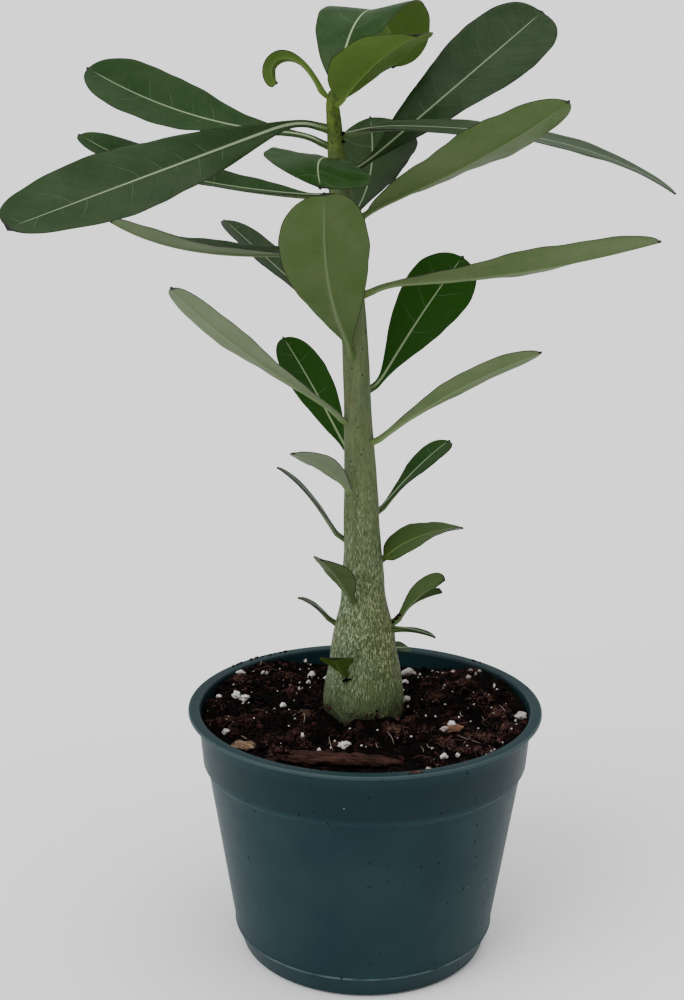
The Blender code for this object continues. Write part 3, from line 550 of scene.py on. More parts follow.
def leaf_paint(name, colours, rib_width, vein_share, roughness):
    """One face of a leaf. The blade attribute holds the distance along it, across it and its half width."""
    dark, light, grey, rich, line_colour, rib_colour, foot_colour = colours
    paint = Paint(name)
    along, across, half = paint.attribute("blade")
    share, tone, hue = paint.attribute("leaf")
    off_rib = across.math("ABSOLUTE")
    rib_half = share.spread(rib_width + 0.1, 0.1)
    rib = (off_rib - rib_half).step(0.2, -0.08) * share.step(0.985, 0.93)

    wander = paint.noise(22.0, 1.0).spread(-3.5, 3.5)
    slant = off_rib * (off_rib * 0.032 + 0.3)
    side = across.math("SIGN")
    turn = (along - (slant + (side * 2.3 + wander))) / VEIN_SPACING
    off_vein = (turn.math("FRACT") - 0.5).math("ABSOLUTE") * VEIN_SPACING
    vein = off_vein.step(0.34, 0.04)
    number = side * 7.3 + turn.math("FLOOR") * 1.7
    chance = (number.math("SINE") * 43.7).math("FRACT")
    vein_out = chance.spread(0.1, 1.0) - off_rib / half.math("MAXIMUM", 1.0)
    shown = vein_out.step(0.0, 0.35) * share.step(0.2, 0.36)

    paint.base(paint.noise(17.0, 3.0, 0.6).step(0.3, 0.7), dark, light)
    paint.cover(hue.math("MAXIMUM", 0.0) * 0.9, grey)
    paint.cover((hue * -1.0).math("MAXIMUM", 0.0) * 0.9, rich)
    net = paint.cells(1.3, "DISTANCE_TO_EDGE", paint.warped(0.5, 2.0))
    paint.cover(net.step(0.12, 0.0) * 0.08, line_colour)
    paint.cover(paint.noise(1.1, 2.0) * 0.16, (0.0, 0.0, 0.0))
    paint.cover(vein * shown * vein_share, line_colour)
    paint.cover(rib * 0.9, rib_colour)
    paint.cover(along.step(7.0, 1.0) * 0.65, foot_colour)
    spots = paint.specks(8.0, 0.05, 0.3)
    paint.cover(spots * 0.75, (0.012, 0.014, 0.008))
    dust = paint.specks(5.5, 0.035, 0.1)
    paint.cover(dust * 0.4, (0.35, 0.4, 0.32))
    margin = (half - off_rib).step(0.46, 0.14) * half.step(1.8, 3.4)
    tip = share.step(0.99, 0.999)
    paint.cover(margin.math("MAXIMUM", tip) * 0.85, (0.016, 0.012, 0.012))
    paint.shade(tone)

    rough = paint.noise(6.0, 2.0).spread(roughness - 0.06, roughness + 0.08)
    height = vein * -0.3 + paint.noise(2.2, 3.0) * 0.6 + paint.noise(8.0, 1.0) * 0.9
    return paint.finish(rough, height, 0.25, LEAF_GLOSS)


def stem_paint():
    """Grey-green bark: pale fissures run up the caudex, and the trunk above is smoother and greener."""
    paint = Paint("stem_bark_grown")
    sideways, _, height = paint.millimetres()
    old = height.step(*OLD_BARK)
    young = height.step(*YOUNG_BARK)
    streak = paint.noise(2.6, 4.0, 0.6, paint.warped(0.5, 6.0, 0.08))
    paint.base(streak.step(0.3, 0.7), (0.08, 0.115, 0.04), (0.132, 0.165, 0.072))
    patch = paint.noise(22.0, 3.0).step(0.4, 0.64)
    paint.cover(patch * 0.5, (0.08, 0.132, 0.066))
    brown = paint.noise(9.0, 4.0, 0.6, paint.warped(0.8, 8.0, 0.2)).step(0.52, 0.7)
    paint.cover(brown * 0.5, (0.1, 0.105, 0.046))
    # Painted shade: the right side of the caudex is laid over with darker olive.
    paint.cover(sideways.step(0.0, 14.0) * 0.4, (0.095, 0.112, 0.04))

    wrinkle = paint.noise(0.54, 1.0, 0.5, paint.warped(0.8, 2.0, 0.18))
    patchy = paint.noise(5.0, 2.0).step(0.3, 0.6).spread(0.5, 1.0)
    paint.shade(old.spread(0.78, 0.8))
    # The pale fissures are bluer and greyer on the left, a painted sheen, and yellower on the right.
    pale = paint.mix(sideways.step(-12.0, 10.0), (0.33, 0.395, 0.275), (0.35, 0.385, 0.2))
    paint.cover(wrinkle.step(0.52, 0.66) * (old.spread(0.08, 0.7) * patchy), pale)
    paint.cover(wrinkle.step(0.47, 0.3) * old.spread(0.12, 0.82), (0.026, 0.038, 0.012))
    paint.cover(height.step(146.0, 116.0) * 0.62, (0.036, 0.056, 0.018))
    speckle = paint.noise(3.4, 3.0, 0.6).step(0.38, 0.64)
    paint.cover(young * 0.9, paint.mix(speckle, (0.032, 0.058, 0.004), (0.078, 0.12, 0.011)))
    bruise = paint.specks(2.4, 0.3, 0.3, paint.warped(0.6, 1.2)) * young
    paint.cover(bruise * 0.85, (0.01, 0.009, 0.006))
    dots = paint.specks(2.7, 0.2, 0.6)
    paint.cover(dots * old.spread(0.9, 0.5), (0.012, 0.012, 0.008))
    ragged = paint.noise(4.0, 4.0, 0.7).spread(-12.0, 12.0)
    soiled = (height + ragged).step(*SOILED_BARK)
    paint.cover(soiled * 0.9, (0.012, 0.008, 0.006))
    return paint.finish(streak.spread(0.55, 0.72), wrinkle * old * 1.2 + streak * 0.5, 0.5, STEM_GLOSS)


def pot_paint():
    """Dark teal plastic, satin, with a paler worn seam, painted highlights on the rim, dust and specks of
    soil.
    """
    paint = Paint("pot_plastic_moulded")
    x, y, height = paint.millimetres()
    cloud = paint.noise(38.0, 3.0, 0.55)
    paint.base(cloud.step(0.3, 0.7), (0.0068, 0.026, 0.033), (0.011, 0.0345, 0.04))
    band = height.step(BAND_BOTTOM_Z - 1.0, BAND_BOTTOM_Z + 1.0)
    paint.shade(band.spread(0.85, 1.32))
    seam = (height - SEAM_Z).math("ABSOLUTE").step(0.7, 0.2) * paint.noise(14.0, 3.0).step(0.3, 0.6)
    paint.cover(seam * 0.7, (0.085, 0.12, 0.12))
    lip = height.step(POT_HEIGHT - LIP_THICKNESS - 0.4, POT_HEIGHT - 0.6)
    paint.cover(lip * 0.6, (0.0055, 0.014, 0.016))
    out = (x * x + y * y).math("SQRT")
    # Painted highlights: pale lines along the rim's outer edge and the lip's inner edge.
    for radius in (RIM_RADIUS - 0.3, BAND_TOP_RADIUS - 0.5):
        rim_highlight = (out - radius).math("ABSOLUTE").step(0.6, 0.1)
        paint.cover(rim_highlight * lip * 0.5, (0.07, 0.1, 0.1))
    # Painted shade: the inner wall above the band's step is darkened to near black; the same mask also
    # darkens the outside of the band from its step up to about 107 mm.
    within = out.step(BAND_TOP_RADIUS + 0.2, BAND_TOP_RADIUS - 0.8)
    inside = within * height.step(BAND_BOTTOM_Z - 2.0, BAND_BOTTOM_Z + 4.0)
    paint.cover(inside * 0.75, (0.003, 0.011, 0.014))
    dust = paint.noise(1.6, 4.0, 0.7).step(0.64, 0.8) * paint.noise(30.0, 2.0).step(0.45, 0.7)
    paint.cover(dust * 0.35, (0.16, 0.19, 0.185))
    scuffs = paint.specks(9.0, 0.045, 0.35)
    paint.cover(scuffs * 0.5, (0.25, 0.3, 0.3))
    dirt = paint.specks(6.0, 0.12, 0.5, paint.warped(1.2, 2.5))
    crumbs = paint.specks(3.4, 0.13, 0.5, paint.warped(0.6, 1.4)) * paint.noise(22.0, 2.0).step(0.46, 0.6)
    dirty = dirt.math("MAXIMUM", crumbs)
    paint.cover(dirty * 0.8, (0.006, 0.006, 0.006))
    rough = paint.noise(9.0, 4.0, 0.6).spread(0.38, 0.52) + dirty * 0.3
    return paint.finish(rough, dirty * 1.2 + paint.noise(1.1, 3.0) * 0.12, 0.25, POT_GLOSS)


def soil_paint():
    """Peat: near black when moist, with brown and reddish crumbs by the tone of each, and pale straws."""
    paint = Paint("soil_peat")
    tone, _, _ = paint.attribute("crumb")
    grain = paint.noise(0.9, 4.0, 0.7)
    patch = paint.noise(9.0, 3.0, 0.6).step(0.42, 0.68)
    paint.base(patch, (0.0016, 0.001, 0.0008), (0.006, 0.0028, 0.0022))
    paint.cover(tone.step(0.25, 0.6), (0.038, 0.015, 0.0125))
    paint.cover(tone.step(0.6, 0.95), (0.105, 0.054, 0.043))
    paint.cover(tone.step(1.05, 1.2), (0.34, 0.29, 0.23))
    paint.shade(grain.spread(0.25, 1.9))
    flecks = paint.specks(2.3, 0.13, 0.1)
    paint.cover(flecks * 0.6, (0.2, 0.17, 0.15))
    height = paint.noise(0.8, 4.0, 0.7) + paint.noise(2.6, 3.0, 0.6) * 1.6
    return paint.finish(grain.spread(0.8, 1.0), height, 1.3, SOIL_GLOSS)


def perlite_paint():
    """Perlite: off-white puffed grains, a few tinted grey or brown by the soil."""
    paint = Paint("perlite_white")
    tone, _, _ = paint.attribute("crumb")
    paint.base(tone, (0.66, 0.64, 0.61), (0.27, 0.215, 0.205))
    stain = paint.noise(1.3, 3.0, 0.65).step(0.5, 0.72)
    paint.cover(stain * 0.55, (0.13, 0.09, 0.07))
    pits = paint.cells(0.55)
    return paint.finish(pits.spread(0.8, 0.95), pits + paint.noise(0.7, 3.0, 0.6), 0.3)


def bark_paint(name, dark, light):
    """Bark with its grain along it; the crumb attribute holds the place along, across and up."""
    paint = Paint(name)
    along, across, up = paint.attribute("crumb")
    place = paint.scale(paint.node("CombineXYZ", {0: along * 0.12, 1: across, 2: up}), MM)
    grain = paint.noise(1.0, 5.0, 0.65, place)
    paint.base(grain.step(0.3, 0.72), dark, light)
    paint.cover(paint.noise(2.4, 4.0, 0.7).step(0.55, 0.75), (0.016, 0.008, 0.006))
    return paint.finish(grain.spread(0.75, 0.95), grain + paint.noise(0.8, 3.0, 0.7) * 0.5, 0.7, SOIL_GLOSS)


def stem_radius(height, angle):
    """Radius of the stem, with the lobes of the caudex."""
    lobes = np.cos(3 * angle + 0.6) + 0.5 * np.cos(5 * angle + 2.0)
    fade = ramp(height, *LOBES_BEGIN) * (1 - ramp(height, *LOBES_END))
    return smooth_through(STEM_RADIUS, height) * (1 + CAUDEX_LOBE * lobes * fade)


def skin_radius(height, angle):
    """Radius of the grown stem, which narrows where the petioles of the crown gather."""
    return stem_radius(height, angle) - CROWN_WAIST * ramp(height, *WAIST_BEGINS)


def build_stem(material):
    """The stem with its lobes, shallow flutes and old leaf scars."""
    low, top = STEM_RADIUS[0][0], STEM_RADIUS[-1][0]
    buried = np.linspace(low, STEM_SHOWN_Z, BURIED_ROWS)[:-1]
    heights = np.concatenate([buried, np.linspace(STEM_SHOWN_Z, top, STEM_ROWS)])
    height, angle = np.meshgrid(heights, all_round(STEM_SIDES), indexing="ij")
    radius = skin_radius(height, angle)
    skin = around(radius, angle, height)
    coarse = 1 - ramp(height, *COARSE_ENDS)
    flutes = relief(skin * (1.0, 1.0, 0.12), 2.6) * (0.10 + 0.22 * coarse)
    knobs = relief(skin * (1.0, 1.0, 0.6), 7.0, 3.0) * (0.18 + 0.25 * coarse)
    radius = radius + flutes + knobs
    for scar_height, azimuth in SCARS:
        turn = (angle - math.radians(azimuth) + np.pi) % (2 * np.pi) - np.pi
        off = np.hypot(turn * radius / SCAR_WIDTH, (height - scar_height) / SCAR_HEIGHT)
        rim, dip = np.exp(-((off - 1.0) / 0.45) ** 2), np.exp(-((off / 0.6) ** 2))
        radius = radius + SCAR_RIM * rim - SCAR_DIP * dip
    rings = around(radius, angle, height, smooth_through(STEM_CENTRE, height))
    foot = (smooth_through(STEM_CENTRE, low), 0.0, low)
    tip = (smooth_through(STEM_CENTRE, top), 0.0, top + 1.2)
    stem = make_object("stem_skin", *closed_shell(rings, foot, tip), "stem_bark", [material])
    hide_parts("stem")


def half_width(form, along):
    """Half the width of the leaf, and the share of the blade behind it, at a share of its length."""
    blade_share = np.maximum((along - PETIOLE_SHARE) / (1 - PETIOLE_SHARE), 0.0)
    power = form["peak"] * form["blunt"] / (1 - form["peak"])
    widest = form["peak"] ** power * (1 - form["peak"]) ** form["blunt"]
    blade = blade_share**power * np.maximum(1 - blade_share, 0.0) ** form["blunt"] / widest
    petiole = PETIOLE_HALF_WIDTH * min(1.0, form["width"] / 16 + 0.35)
    return np.hypot(petiole * (1 - blade_share), form["width"] / 2 * blade), blade_share


def midrib_angles(form, shares):
    """Climb and heading of the midrib, in radians."""
    bent = shares ** form["bend"]
    arched = form["arch"] * np.maximum(1 - shares / ARCH_SHARE, 0.0) ** 2
    climb = np.radians(form["rise"] - form["droop"] * bent + arched)
    return climb, np.radians(form["azimuth"] + form["sweep"] * bent)


def midrib_direction(form, shares):
    climb, heading = midrib_angles(form, shares)
    return around(np.cos(climb), heading, np.sin(climb))


def midrib(form, shares):
    """Points of the midrib at the given shares of the length, starting on the stem's skin."""
    azimuth, height = math.radians(form["azimuth"]), form["height"]
    start = around(stem_radius(height, azimuth) + GAP, azimuth, height, smooth_through(STEM_CENTRE, height))
    middles = (np.arange(MIDRIB_STEPS) + 0.5) / MIDRIB_STEPS
    steps = midrib_direction(form, middles) * form["length"] / MIDRIB_STEPS
    line = np.vstack([np.zeros(3), np.cumsum(steps, axis=0)]) + start
    at = np.linspace(0.0, 1.0, MIDRIB_STEPS + 1)
    return stack(*(np.interp(shares, at, axis) for axis in line.T))


def blade_axes(form, shares):
    """Directions across the blade and out of its upper face."""
    climb, heading = midrib_angles(form, shares)
    upward = around(-np.sin(climb), heading, np.cos(climb))
    across = np.cross(upward, midrib_direction(form, shares))
    turn = np.radians(form["roll"] + form["twist"] * shares)[:, None]
    return np.cos(turn) * across + np.sin(turn) * upward, np.cos(turn) * upward - np.sin(turn) * across


def seat_on_stem(points, sink):
    """Moves points of a leaf's foot to just inside the stem's skin."""
    centre = smooth_through(STEM_CENTRE, points[:, 2])
    dx, dy = points[:, 0] - centre, points[:, 1]
    factor = (skin_radius(points[:, 2], np.arctan2(dy, dx)) - sink) / np.hypot(dx, dy)
    return stack(centre + dx * factor, dy * factor, points[:, 2])


def leaf_faces(rows, columns):
    """Quads of the upper face, the lower face and the rim between them, and the material of each."""
    count = (rows + 1) * columns
    faces = grid_faces(rows + 1, columns, flip=True) + grid_faces(rows + 1, columns, first=count)
    upper_count = len(faces) // 2
    for start in range(0, rows * columns, columns):
        end = start + columns - 1
        faces.append((start, start + columns, start + columns + count, start + count))
        faces.append((end + count, end + columns + count, end + columns, end))
    for column in range(columns - 1):
        last = rows * columns + column
        faces.append((last + count, last + 1 + count, last + 1, last))
        faces.append((column, column + 1, column + 1 + count, column + count))
    return faces, [0] * upper_count + [1] * (len(faces) - upper_count)


def build_leaf(form, upper_paint, under_paint, slot):
    """A leaf with a raised midrib, a round petiole that swells at its foot, and a thin waved margin."""
    rows = LARGE_LEAF_ROWS if form["length"] >= LARGE_LEAF else SMALL_LEAF_ROWS
    shares = 0.5 - 0.5 * np.cos(np.pi * np.arange(rows + 1) / rows)
    direction = midrib_direction(form, shares)
    points = midrib(form, shares)
    points[-1] += direction[-1] * MUCRO
    across, upward = blade_axes(form, shares)
    half, blade_share = half_width(form, shares)
    half[-1] = half[-2] if form["notch"] else TIP_HALF_WIDTH
    along = shares * form["length"]
    even = (np.arange(HALF_COLUMNS + 1) / HALF_COLUMNS) ** 1.45
    one_side = np.concatenate([even[:-1], [0.978, 1.0]])

    side, half = np.meshgrid(np.concatenate([-one_side[::-1], one_side[1:]]), half)
    share = blade_share[:, None]
    swell = np.exp(-along / SWELL_REACH)[:, None]
    left, right = (relief(stack(form["azimuth"] + shift, along / 9.0, 0.0), 1.0) for shift in (0.0, 7.0))
    rough_edge = np.where(side < 0, left[:, None], right[:, None])
    half = (half + swell * SWELL) * (1 + MARGIN_UNEVEN * rough_edge * np.abs(side) ** 3 * np.sqrt(share))
    fold = math.radians(form["fold"])
    turns = 2 * np.pi * form["waves"] * share + 1.5 * side + form["azimuth"]
    wave = form["wave"] * min(1.0, form["width"] / 32) ** 1.5 * np.sin(np.pi * share)
    ripple = wave * side**2 * np.sin(turns) + 0.3 * wave * side**4 * np.sin(3.1 * turns + 1.0)
    lift = half * np.abs(side) * math.sin(fold) + ripple
    bite = form["notch"] * (NOTCH_SPREAD * np.abs(side - NOTCH_SIDE) - 1) * share**NOTCH_REACH
    middle = points[:, None]
    for axis, amount in ((across, half * side * math.cos(fold)), (upward, lift), (direction, bite)):
        middle = middle + axis[:, None] * amount[..., None]

    off_rib = np.abs(side) * half
    margin = BLADE_THICKNESS / 2 * np.sqrt(np.maximum(1 - np.abs(side) ** 10, 0.02))
    rib_width = 1.25 - 0.55 * share
    ridge = 0.18 * (1 - 0.6 * share) * np.exp(-((off_rib / (0.65 * rib_width)) ** 2))
    rib = PETIOLE_THICKNESS * (1 - 0.8 * share) * np.exp(-((off_rib / rib_width) ** 2))
    surfaces = []
    for rise in (margin + ridge + 0.3 * swell, -(margin + rib + swell)):
        surface = middle + upward[:, None] * rise[..., None]
        for row in np.flatnonzero(along < SEAT_REACH):
            pull = (1 - along[row] / SEAT_REACH) ** 2
            surface[row] += pull * (seat_on_stem(surface[row], SEAT_DEPTH) - surface[row])
        surfaces.append(surface.reshape(-1, 3))

    blade = stack(along[:, None], side * half, half)
    look = stack(shares[:, None] + 0 * side, form["tone"], form["hue"])
    attributes = {"blade": [blade, blade], "leaf": [look, look]}
    faces, face_materials = leaf_faces(rows, side.shape[1])
    obj = make_object(form["name"] + "_grown", np.concatenate(surfaces), faces, slot,
                      [upper_paint, under_paint], face_materials, attributes)
    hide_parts(form["name"])


def rounded(profile, cut=0.5):
    """The profile with each corner eased by a short curve."""
    profile = np.array(profile, float)
    points = [profile[0]]
    for before, corner, after in zip(profile, profile[1:], profile[2:]):
        start = corner + (before - corner) * min(cut / np.linalg.norm(before - corner), 0.4)
        end = corner + (after - corner) * min(cut / np.linalg.norm(after - corner), 0.4)
        for t in (0.0, 0.25, 0.5, 0.75, 1.0):
            points.append((1 - t) ** 2 * start + 2 * t * (1 - t) * corner + t**2 * end)
    return np.array([*points, profile[-1]])


def pot_profile():
    """Outside from the foot up to the lip, then the inside down to the floor, as (radius, height)."""
    body_top = BAND_BOTTOM_RADIUS - BAND_STEP
    pad = CENTRE_PAD_RADIUS
    foot_inner = FOOT_RADIUS - FOOT_WIDTH
    corner = SEAM_RADIUS - WALL - 0.16 * (SEAM_Z - WALL) - 2.0
    under_lip = POT_HEIGHT - LIP_THICKNESS
    inner_floor = FLOOR_LIFT + WALL
    return [
        (0, 0), (pad, 0), (pad + CHAMFER, FLOOR_LIFT), (foot_inner - CHAMFER, FLOOR_LIFT), (foot_inner, 0),
        (FOOT_RADIUS - 1.0, 0), (FOOT_RADIUS + 1.0, 1.0), (SEAM_RADIUS - 0.5, SEAM_Z - 0.6),
        (SEAM_RADIUS + 0.3, SEAM_Z - 0.3), (SEAM_RADIUS + 0.35, SEAM_Z + 0.1),
        (SEAM_RADIUS - 0.05, SEAM_Z + 0.5), (body_top, BAND_BOTTOM_Z - 1.4),
        (body_top + 0.7, BAND_BOTTOM_Z - 0.6), (BAND_BOTTOM_RADIUS, BAND_BOTTOM_Z + 0.5),
        (BAND_TOP_RADIUS, under_lip), (RIM_RADIUS, under_lip), (RIM_RADIUS, POT_HEIGHT),
        (BAND_TOP_RADIUS - 0.4, POT_HEIGHT), (BAND_TOP_RADIUS - WALL, POT_HEIGHT - 1.2),
        (BAND_BOTTOM_RADIUS - WALL, BAND_BOTTOM_Z + 1.0), (body_top - WALL, BAND_BOTTOM_Z - 1.0),
        (corner + 1.0, WALL + 5.0), (corner - 2.0, WALL), (foot_inner + WALL, WALL),
        (foot_inner - CHAMFER + WALL / 2, inner_floor), (pad + CHAMFER - WALL / 2, inner_floor),
        (pad - WALL, WALL), (0, WALL),
    ]


def build_pot(material):
    """The pot with eased edges and a ring of drain holes through its floor."""
    profile = rounded(pot_profile())
    rings = around(profile[1:-1, :1], all_round(POT_SEGMENTS), profile[1:-1, 1:])
    ends = [(0.0, 0.0, profile[end][1]) for end in (0, -1)]
    pot = make_object("pot_shell", *closed_shell(rings, *ends), "pot_plastic", [material])
    for number in range(DRAIN_HOLES):
        place = around(DRAIN_RING_RADIUS * MM, 2 * math.pi * (number + 0.5) / DRAIN_HOLES, 0.0)
        bpy.ops.mesh.primitive_cylinder_add(
            vertices=40, radius=DRAIN_HOLE_RADIUS * MM, depth=0.02, location=tuple(place))
        drill = bpy.context.object
        cut = pot.modifiers.new("drain", "BOOLEAN")
        cut.operation = "DIFFERENCE"
        cut.object = drill
        bpy.context.view_layer.update()
        cut_mesh = bpy.data.meshes.new_from_object(pot.evaluated_get(bpy.context.evaluated_depsgraph_get()))
        pot.modifiers.clear()
        pot.data = cut_mesh
        bpy.data.objects.remove(drill, do_unlink=True)
    pot.data.shade_smooth()
    pot.data.set_sharp_from_angle(angle=math.radians(40.0))
    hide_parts("pot")


def bark_offset(x, y, piece):
    """Distance from a point on the soil to the outline of a bark piece, zero inside it."""
    _, middle, heading, length, width, _ = piece
    angle = math.radians(heading)
    dx, dy = x - middle[0], y - middle[1]
    along = np.abs(dx * math.cos(angle) + dy * math.sin(angle)) - length / 2
    across = np.abs(dy * math.cos(angle) - dx * math.sin(angle)) - width / 2
    return np.hypot(np.maximum(along, 0.0), np.maximum(across, 0.0))


def soil_slope(x, y):
    """Smooth height of the soil between the stem and the wall."""
    out = ramp(np.hypot(x - STEM_X, y), 19.0, BAND_TOP_RADIUS - WALL)
    wall_height = smooth_through(SOIL_ALONG_WALL, np.degrees(np.arctan2(y, x)))
    return SOIL_STEM_Z + (wall_height - SOIL_STEM_Z) * out**SOIL_FALL


def soil_height(x, y):
    """Height of the soil with its lumps, heaped a little round the stem and level under the bark."""
    flat = stack(x, y, 0.0)
    distance = np.hypot(x - STEM_X, y)
    round_stem = smooth_through(SOIL_ROUND_STEM, np.degrees(np.arctan2(y, x - STEM_X)))
    lumps = 1.6 * relief(flat, 9.0) + 1.1 * relief(flat, 4.2, 1.0) + 0.6 * relief(flat, 1.9, 2.0)
    lumps = lumps * (1 - 0.6 * ramp(distance, 70.0, 76.0))
    heap = round_stem * np.exp(-np.maximum(distance - HEAP_BEGINS, 0.0) / HEAP_REACH)
    height = soil_slope(x, y) + lumps + heap
    mounds = [(*hollow, -HOLLOW_DEPTH) for hollow in HOLLOWS]
    mounds += [(*clump[:3], CLUMP_RISE * clump[2]) for clump in CLUMPS]
    for middle_x, middle_y, reach, rise in mounds:
        height = height + rise * np.exp(-((x - middle_x) ** 2 + (y - middle_y) ** 2) / reach**2)
    for piece in BARK:
        bed = soil_slope(*piece[1]) + BED_LIFT
        height = bed + (height - bed) * ramp(bark_offset(x, y, piece), BED_LEVEL, BED_SOFT_EDGE)
    return height


def build_soil_bed(material):
    """The soil: the hole round the stem, a lumpy top, the side along the wall and the underside."""
    angles = all_round(SOIL_SEGMENTS)
    radius, angle = np.meshgrid(np.linspace(SOIL_INNER, SOIL_OUTER, SOIL_RINGS), angles, indexing="ij")
    follow = 1 - ramp(radius, 24.0, 60.0)
    top = around(radius, angle, 0.0, STEM_X * follow)
    top[..., 2] = np.minimum(soil_height(top[..., 0], top[..., 1]), POT_HEIGHT - SOIL_BELOW_RIM)
    hole = [around(ring, angles, height, STEM_X)[None] for ring, height in SOIL_HOLE]
    side = [around(ring, angles, height)[None] for ring, height in SOIL_SIDE]
    ends = ((STEM_X, 0.0, SOIL_HOLE_Z), (0.0, 0.0, SOIL_SIDE[-1][1]))
    points, faces = closed_shell(np.concatenate([*hole, top, *side]), *ends, flip=True)
    tone = 0.5 * ramp(relief(points, 6.0, 4.0), 0.0, 0.6)
    crumb = {"crumb": stack(tone, tone, tone)}
    bed = make_object("soil_bed", points, faces, "soil_mix", [material], attributes=crumb)
    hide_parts("soil")


def lump_shapes(count, subdivisions, unevenness, seed):
    """Points and triangles of a few uneven lumps of radius 1."""
    shapes = []
    for number in range(count):
        bpy.ops.mesh.primitive_ico_sphere_add(subdivisions=subdivisions, radius=1.0)
        ball = bpy.context.object
        points = np.array([vertex.co[:] for vertex in ball.data.vertices])
        faces = np.array([polygon.vertices[:] for polygon in ball.data.polygons])
        bpy.data.objects.remove(ball, do_unlink=True)
        bumps = relief(points, 0.9, seed + number) + 0.5 * relief(points, 0.4, seed + number + 50)
        shapes.append((points * (1 + unevenness * bumps)[:, None], faces))
    return shapes


def random_turn(draw):
    turn = Matrix.Identity(3)
    for widest, axis in ((2 * math.pi, "Z"), (math.pi, "X"), (2 * math.pi, "Z")):
        turn = turn @ Matrix.Rotation(draw.uniform(0, widest), 3, axis)
    return np.array(turn)


def random_tone(draw, tone, spread, least):
    """A seeded tone about the given one, between least and 1."""
    return min(max(draw.gauss(tone, spread), least), 1.0)


class Heap:
    """Gathers many small shapes, each of one tone, into one piece."""

    def __init__(self):
        self.points = []
        self.faces = []
        self.tones = []
        self.count = 0

    def add(self, points, faces, tone):
        self.points.append(points)
        self.faces += (np.asarray(faces) + self.count).tolist()
        self.tones.append(np.full((len(points), 3), tone))
        self.count += len(points)

    def make(self, name, material, smooth=True):
        tones = {"crumb": np.concatenate(self.tones)}
        points = np.concatenate(self.points)
        make_object(name, points, self.faces, "soil_mix", [material], attributes=tones, smooth=smooth)


def on_soil(draw, inner, outer):
    """A seeded place on the soil, spread evenly over its area."""
    distance = math.sqrt(draw.uniform(inner**2, outer**2))
    angle = draw.uniform(0, 2 * math.pi)
    return distance * math.cos(angle) + STEM_X, distance * math.sin(angle)


def clear_of_bark(x, y, margin):
    return all(bark_offset(x, y, piece) > margin for piece in BARK)


def build_crumbs(material):
    """Loose crumbs of peat over the whole bed, the clumps on it and the crumbs that stick elsewhere."""
    draw = random.Random(SOIL_SEED)
    small = lump_shapes(8, 1, 0.55, 1.0)
    large = lump_shapes(8, 2, 0.6, 30.0)
    heap = Heap()
    places = []
    while len(places) < CRUMBS:
        x, y = on_soil(draw, 19.0, WALL_CLEAR)
        if clear_of_bark(x, y, 1.0):
            size = CRUMB_RADIUS * math.exp(draw.gauss(0.0, 0.42))
            places.append((x, y, min(size, LARGEST_CRUMB), draw.random() ** 4.5 * 0.7))
    for middle_x, middle_y, reach, tone in CLUMPS:
        for _ in range(CLUMP_PARTS):
            away = abs(draw.gauss(0.0, 0.5)) * reach
            angle = draw.uniform(0, 2 * math.pi)
            x, y = middle_x + away * math.cos(angle), middle_y + away * math.sin(angle)
            if clear_of_bark(x, y, 0.5) and STEM_CLEAR < math.hypot(x - STEM_X, y) < WALL_CLEAR:
                places.append((x, y, draw.uniform(0.35, 1.25), random_tone(draw, 0.8 * tone, 0.3, 0.05)))
    for (x, y, size, tone), height in zip(places, soil_height(*np.array(places)[:, :2].T)):
        points, faces = draw.choice(large if size > LARGE_CRUMB else small)
        squash = (draw.uniform(0.8, 1.4), draw.uniform(0.7, 1.0), draw.uniform(0.5, 0.9))
        lump = (points * squash * size) @ random_turn(draw).T
        heap.add(lump + (x, y, min(height + 0.25 * size, POT_HEIGHT - 0.9 * size)), faces, tone)
    for (x, y, z), spread, number, tone in STUCK_CRUMBS:
        for _ in range(number):
            points, faces = draw.choice(small)
            lump = (points * draw.uniform(0.3, 0.75)) @ random_turn(draw).T
            shift = (draw.gauss(0.0, spread), draw.gauss(0.0, 0.4 * spread), draw.gauss(0.0, 0.5 * spread))
            if z < POT_HEIGHT + 0.5 and math.hypot(x, y) > BAND_TOP_RADIUS:
                shift = (shift[0], shift[0] * -x / y, 0.0)
            heap.add(lump + (np.array((x, y, z)) + shift), faces, random_tone(draw, tone, 0.2, 0.0))
    heap.make("soil_crumbs", material, smooth=False)


def tube(x, y, z, radius, sides):
    """Points and quads of a thin tapered tube along a line."""
    line = stack(x, y, z)
    run = np.gradient(line, axis=0)
    run /= np.linalg.norm(run, axis=1)[:, None]
    over = np.cross(run, (0.31, 0.17, 0.93))
    over /= np.linalg.norm(over, axis=1)[:, None]
    angles = all_round(sides)[None, :, None]
    ring = over[:, None] * np.cos(angles) + np.cross(run, over)[:, None] * np.sin(angles)
    taper = radius * (1 - 0.7 * np.abs(np.linspace(-1, 1, len(line))) ** 3)
    points = (line[:, None] + ring * taper[:, None, None]).reshape(-1, 3)
    return points, grid_faces(len(line), sides, wrap=True)


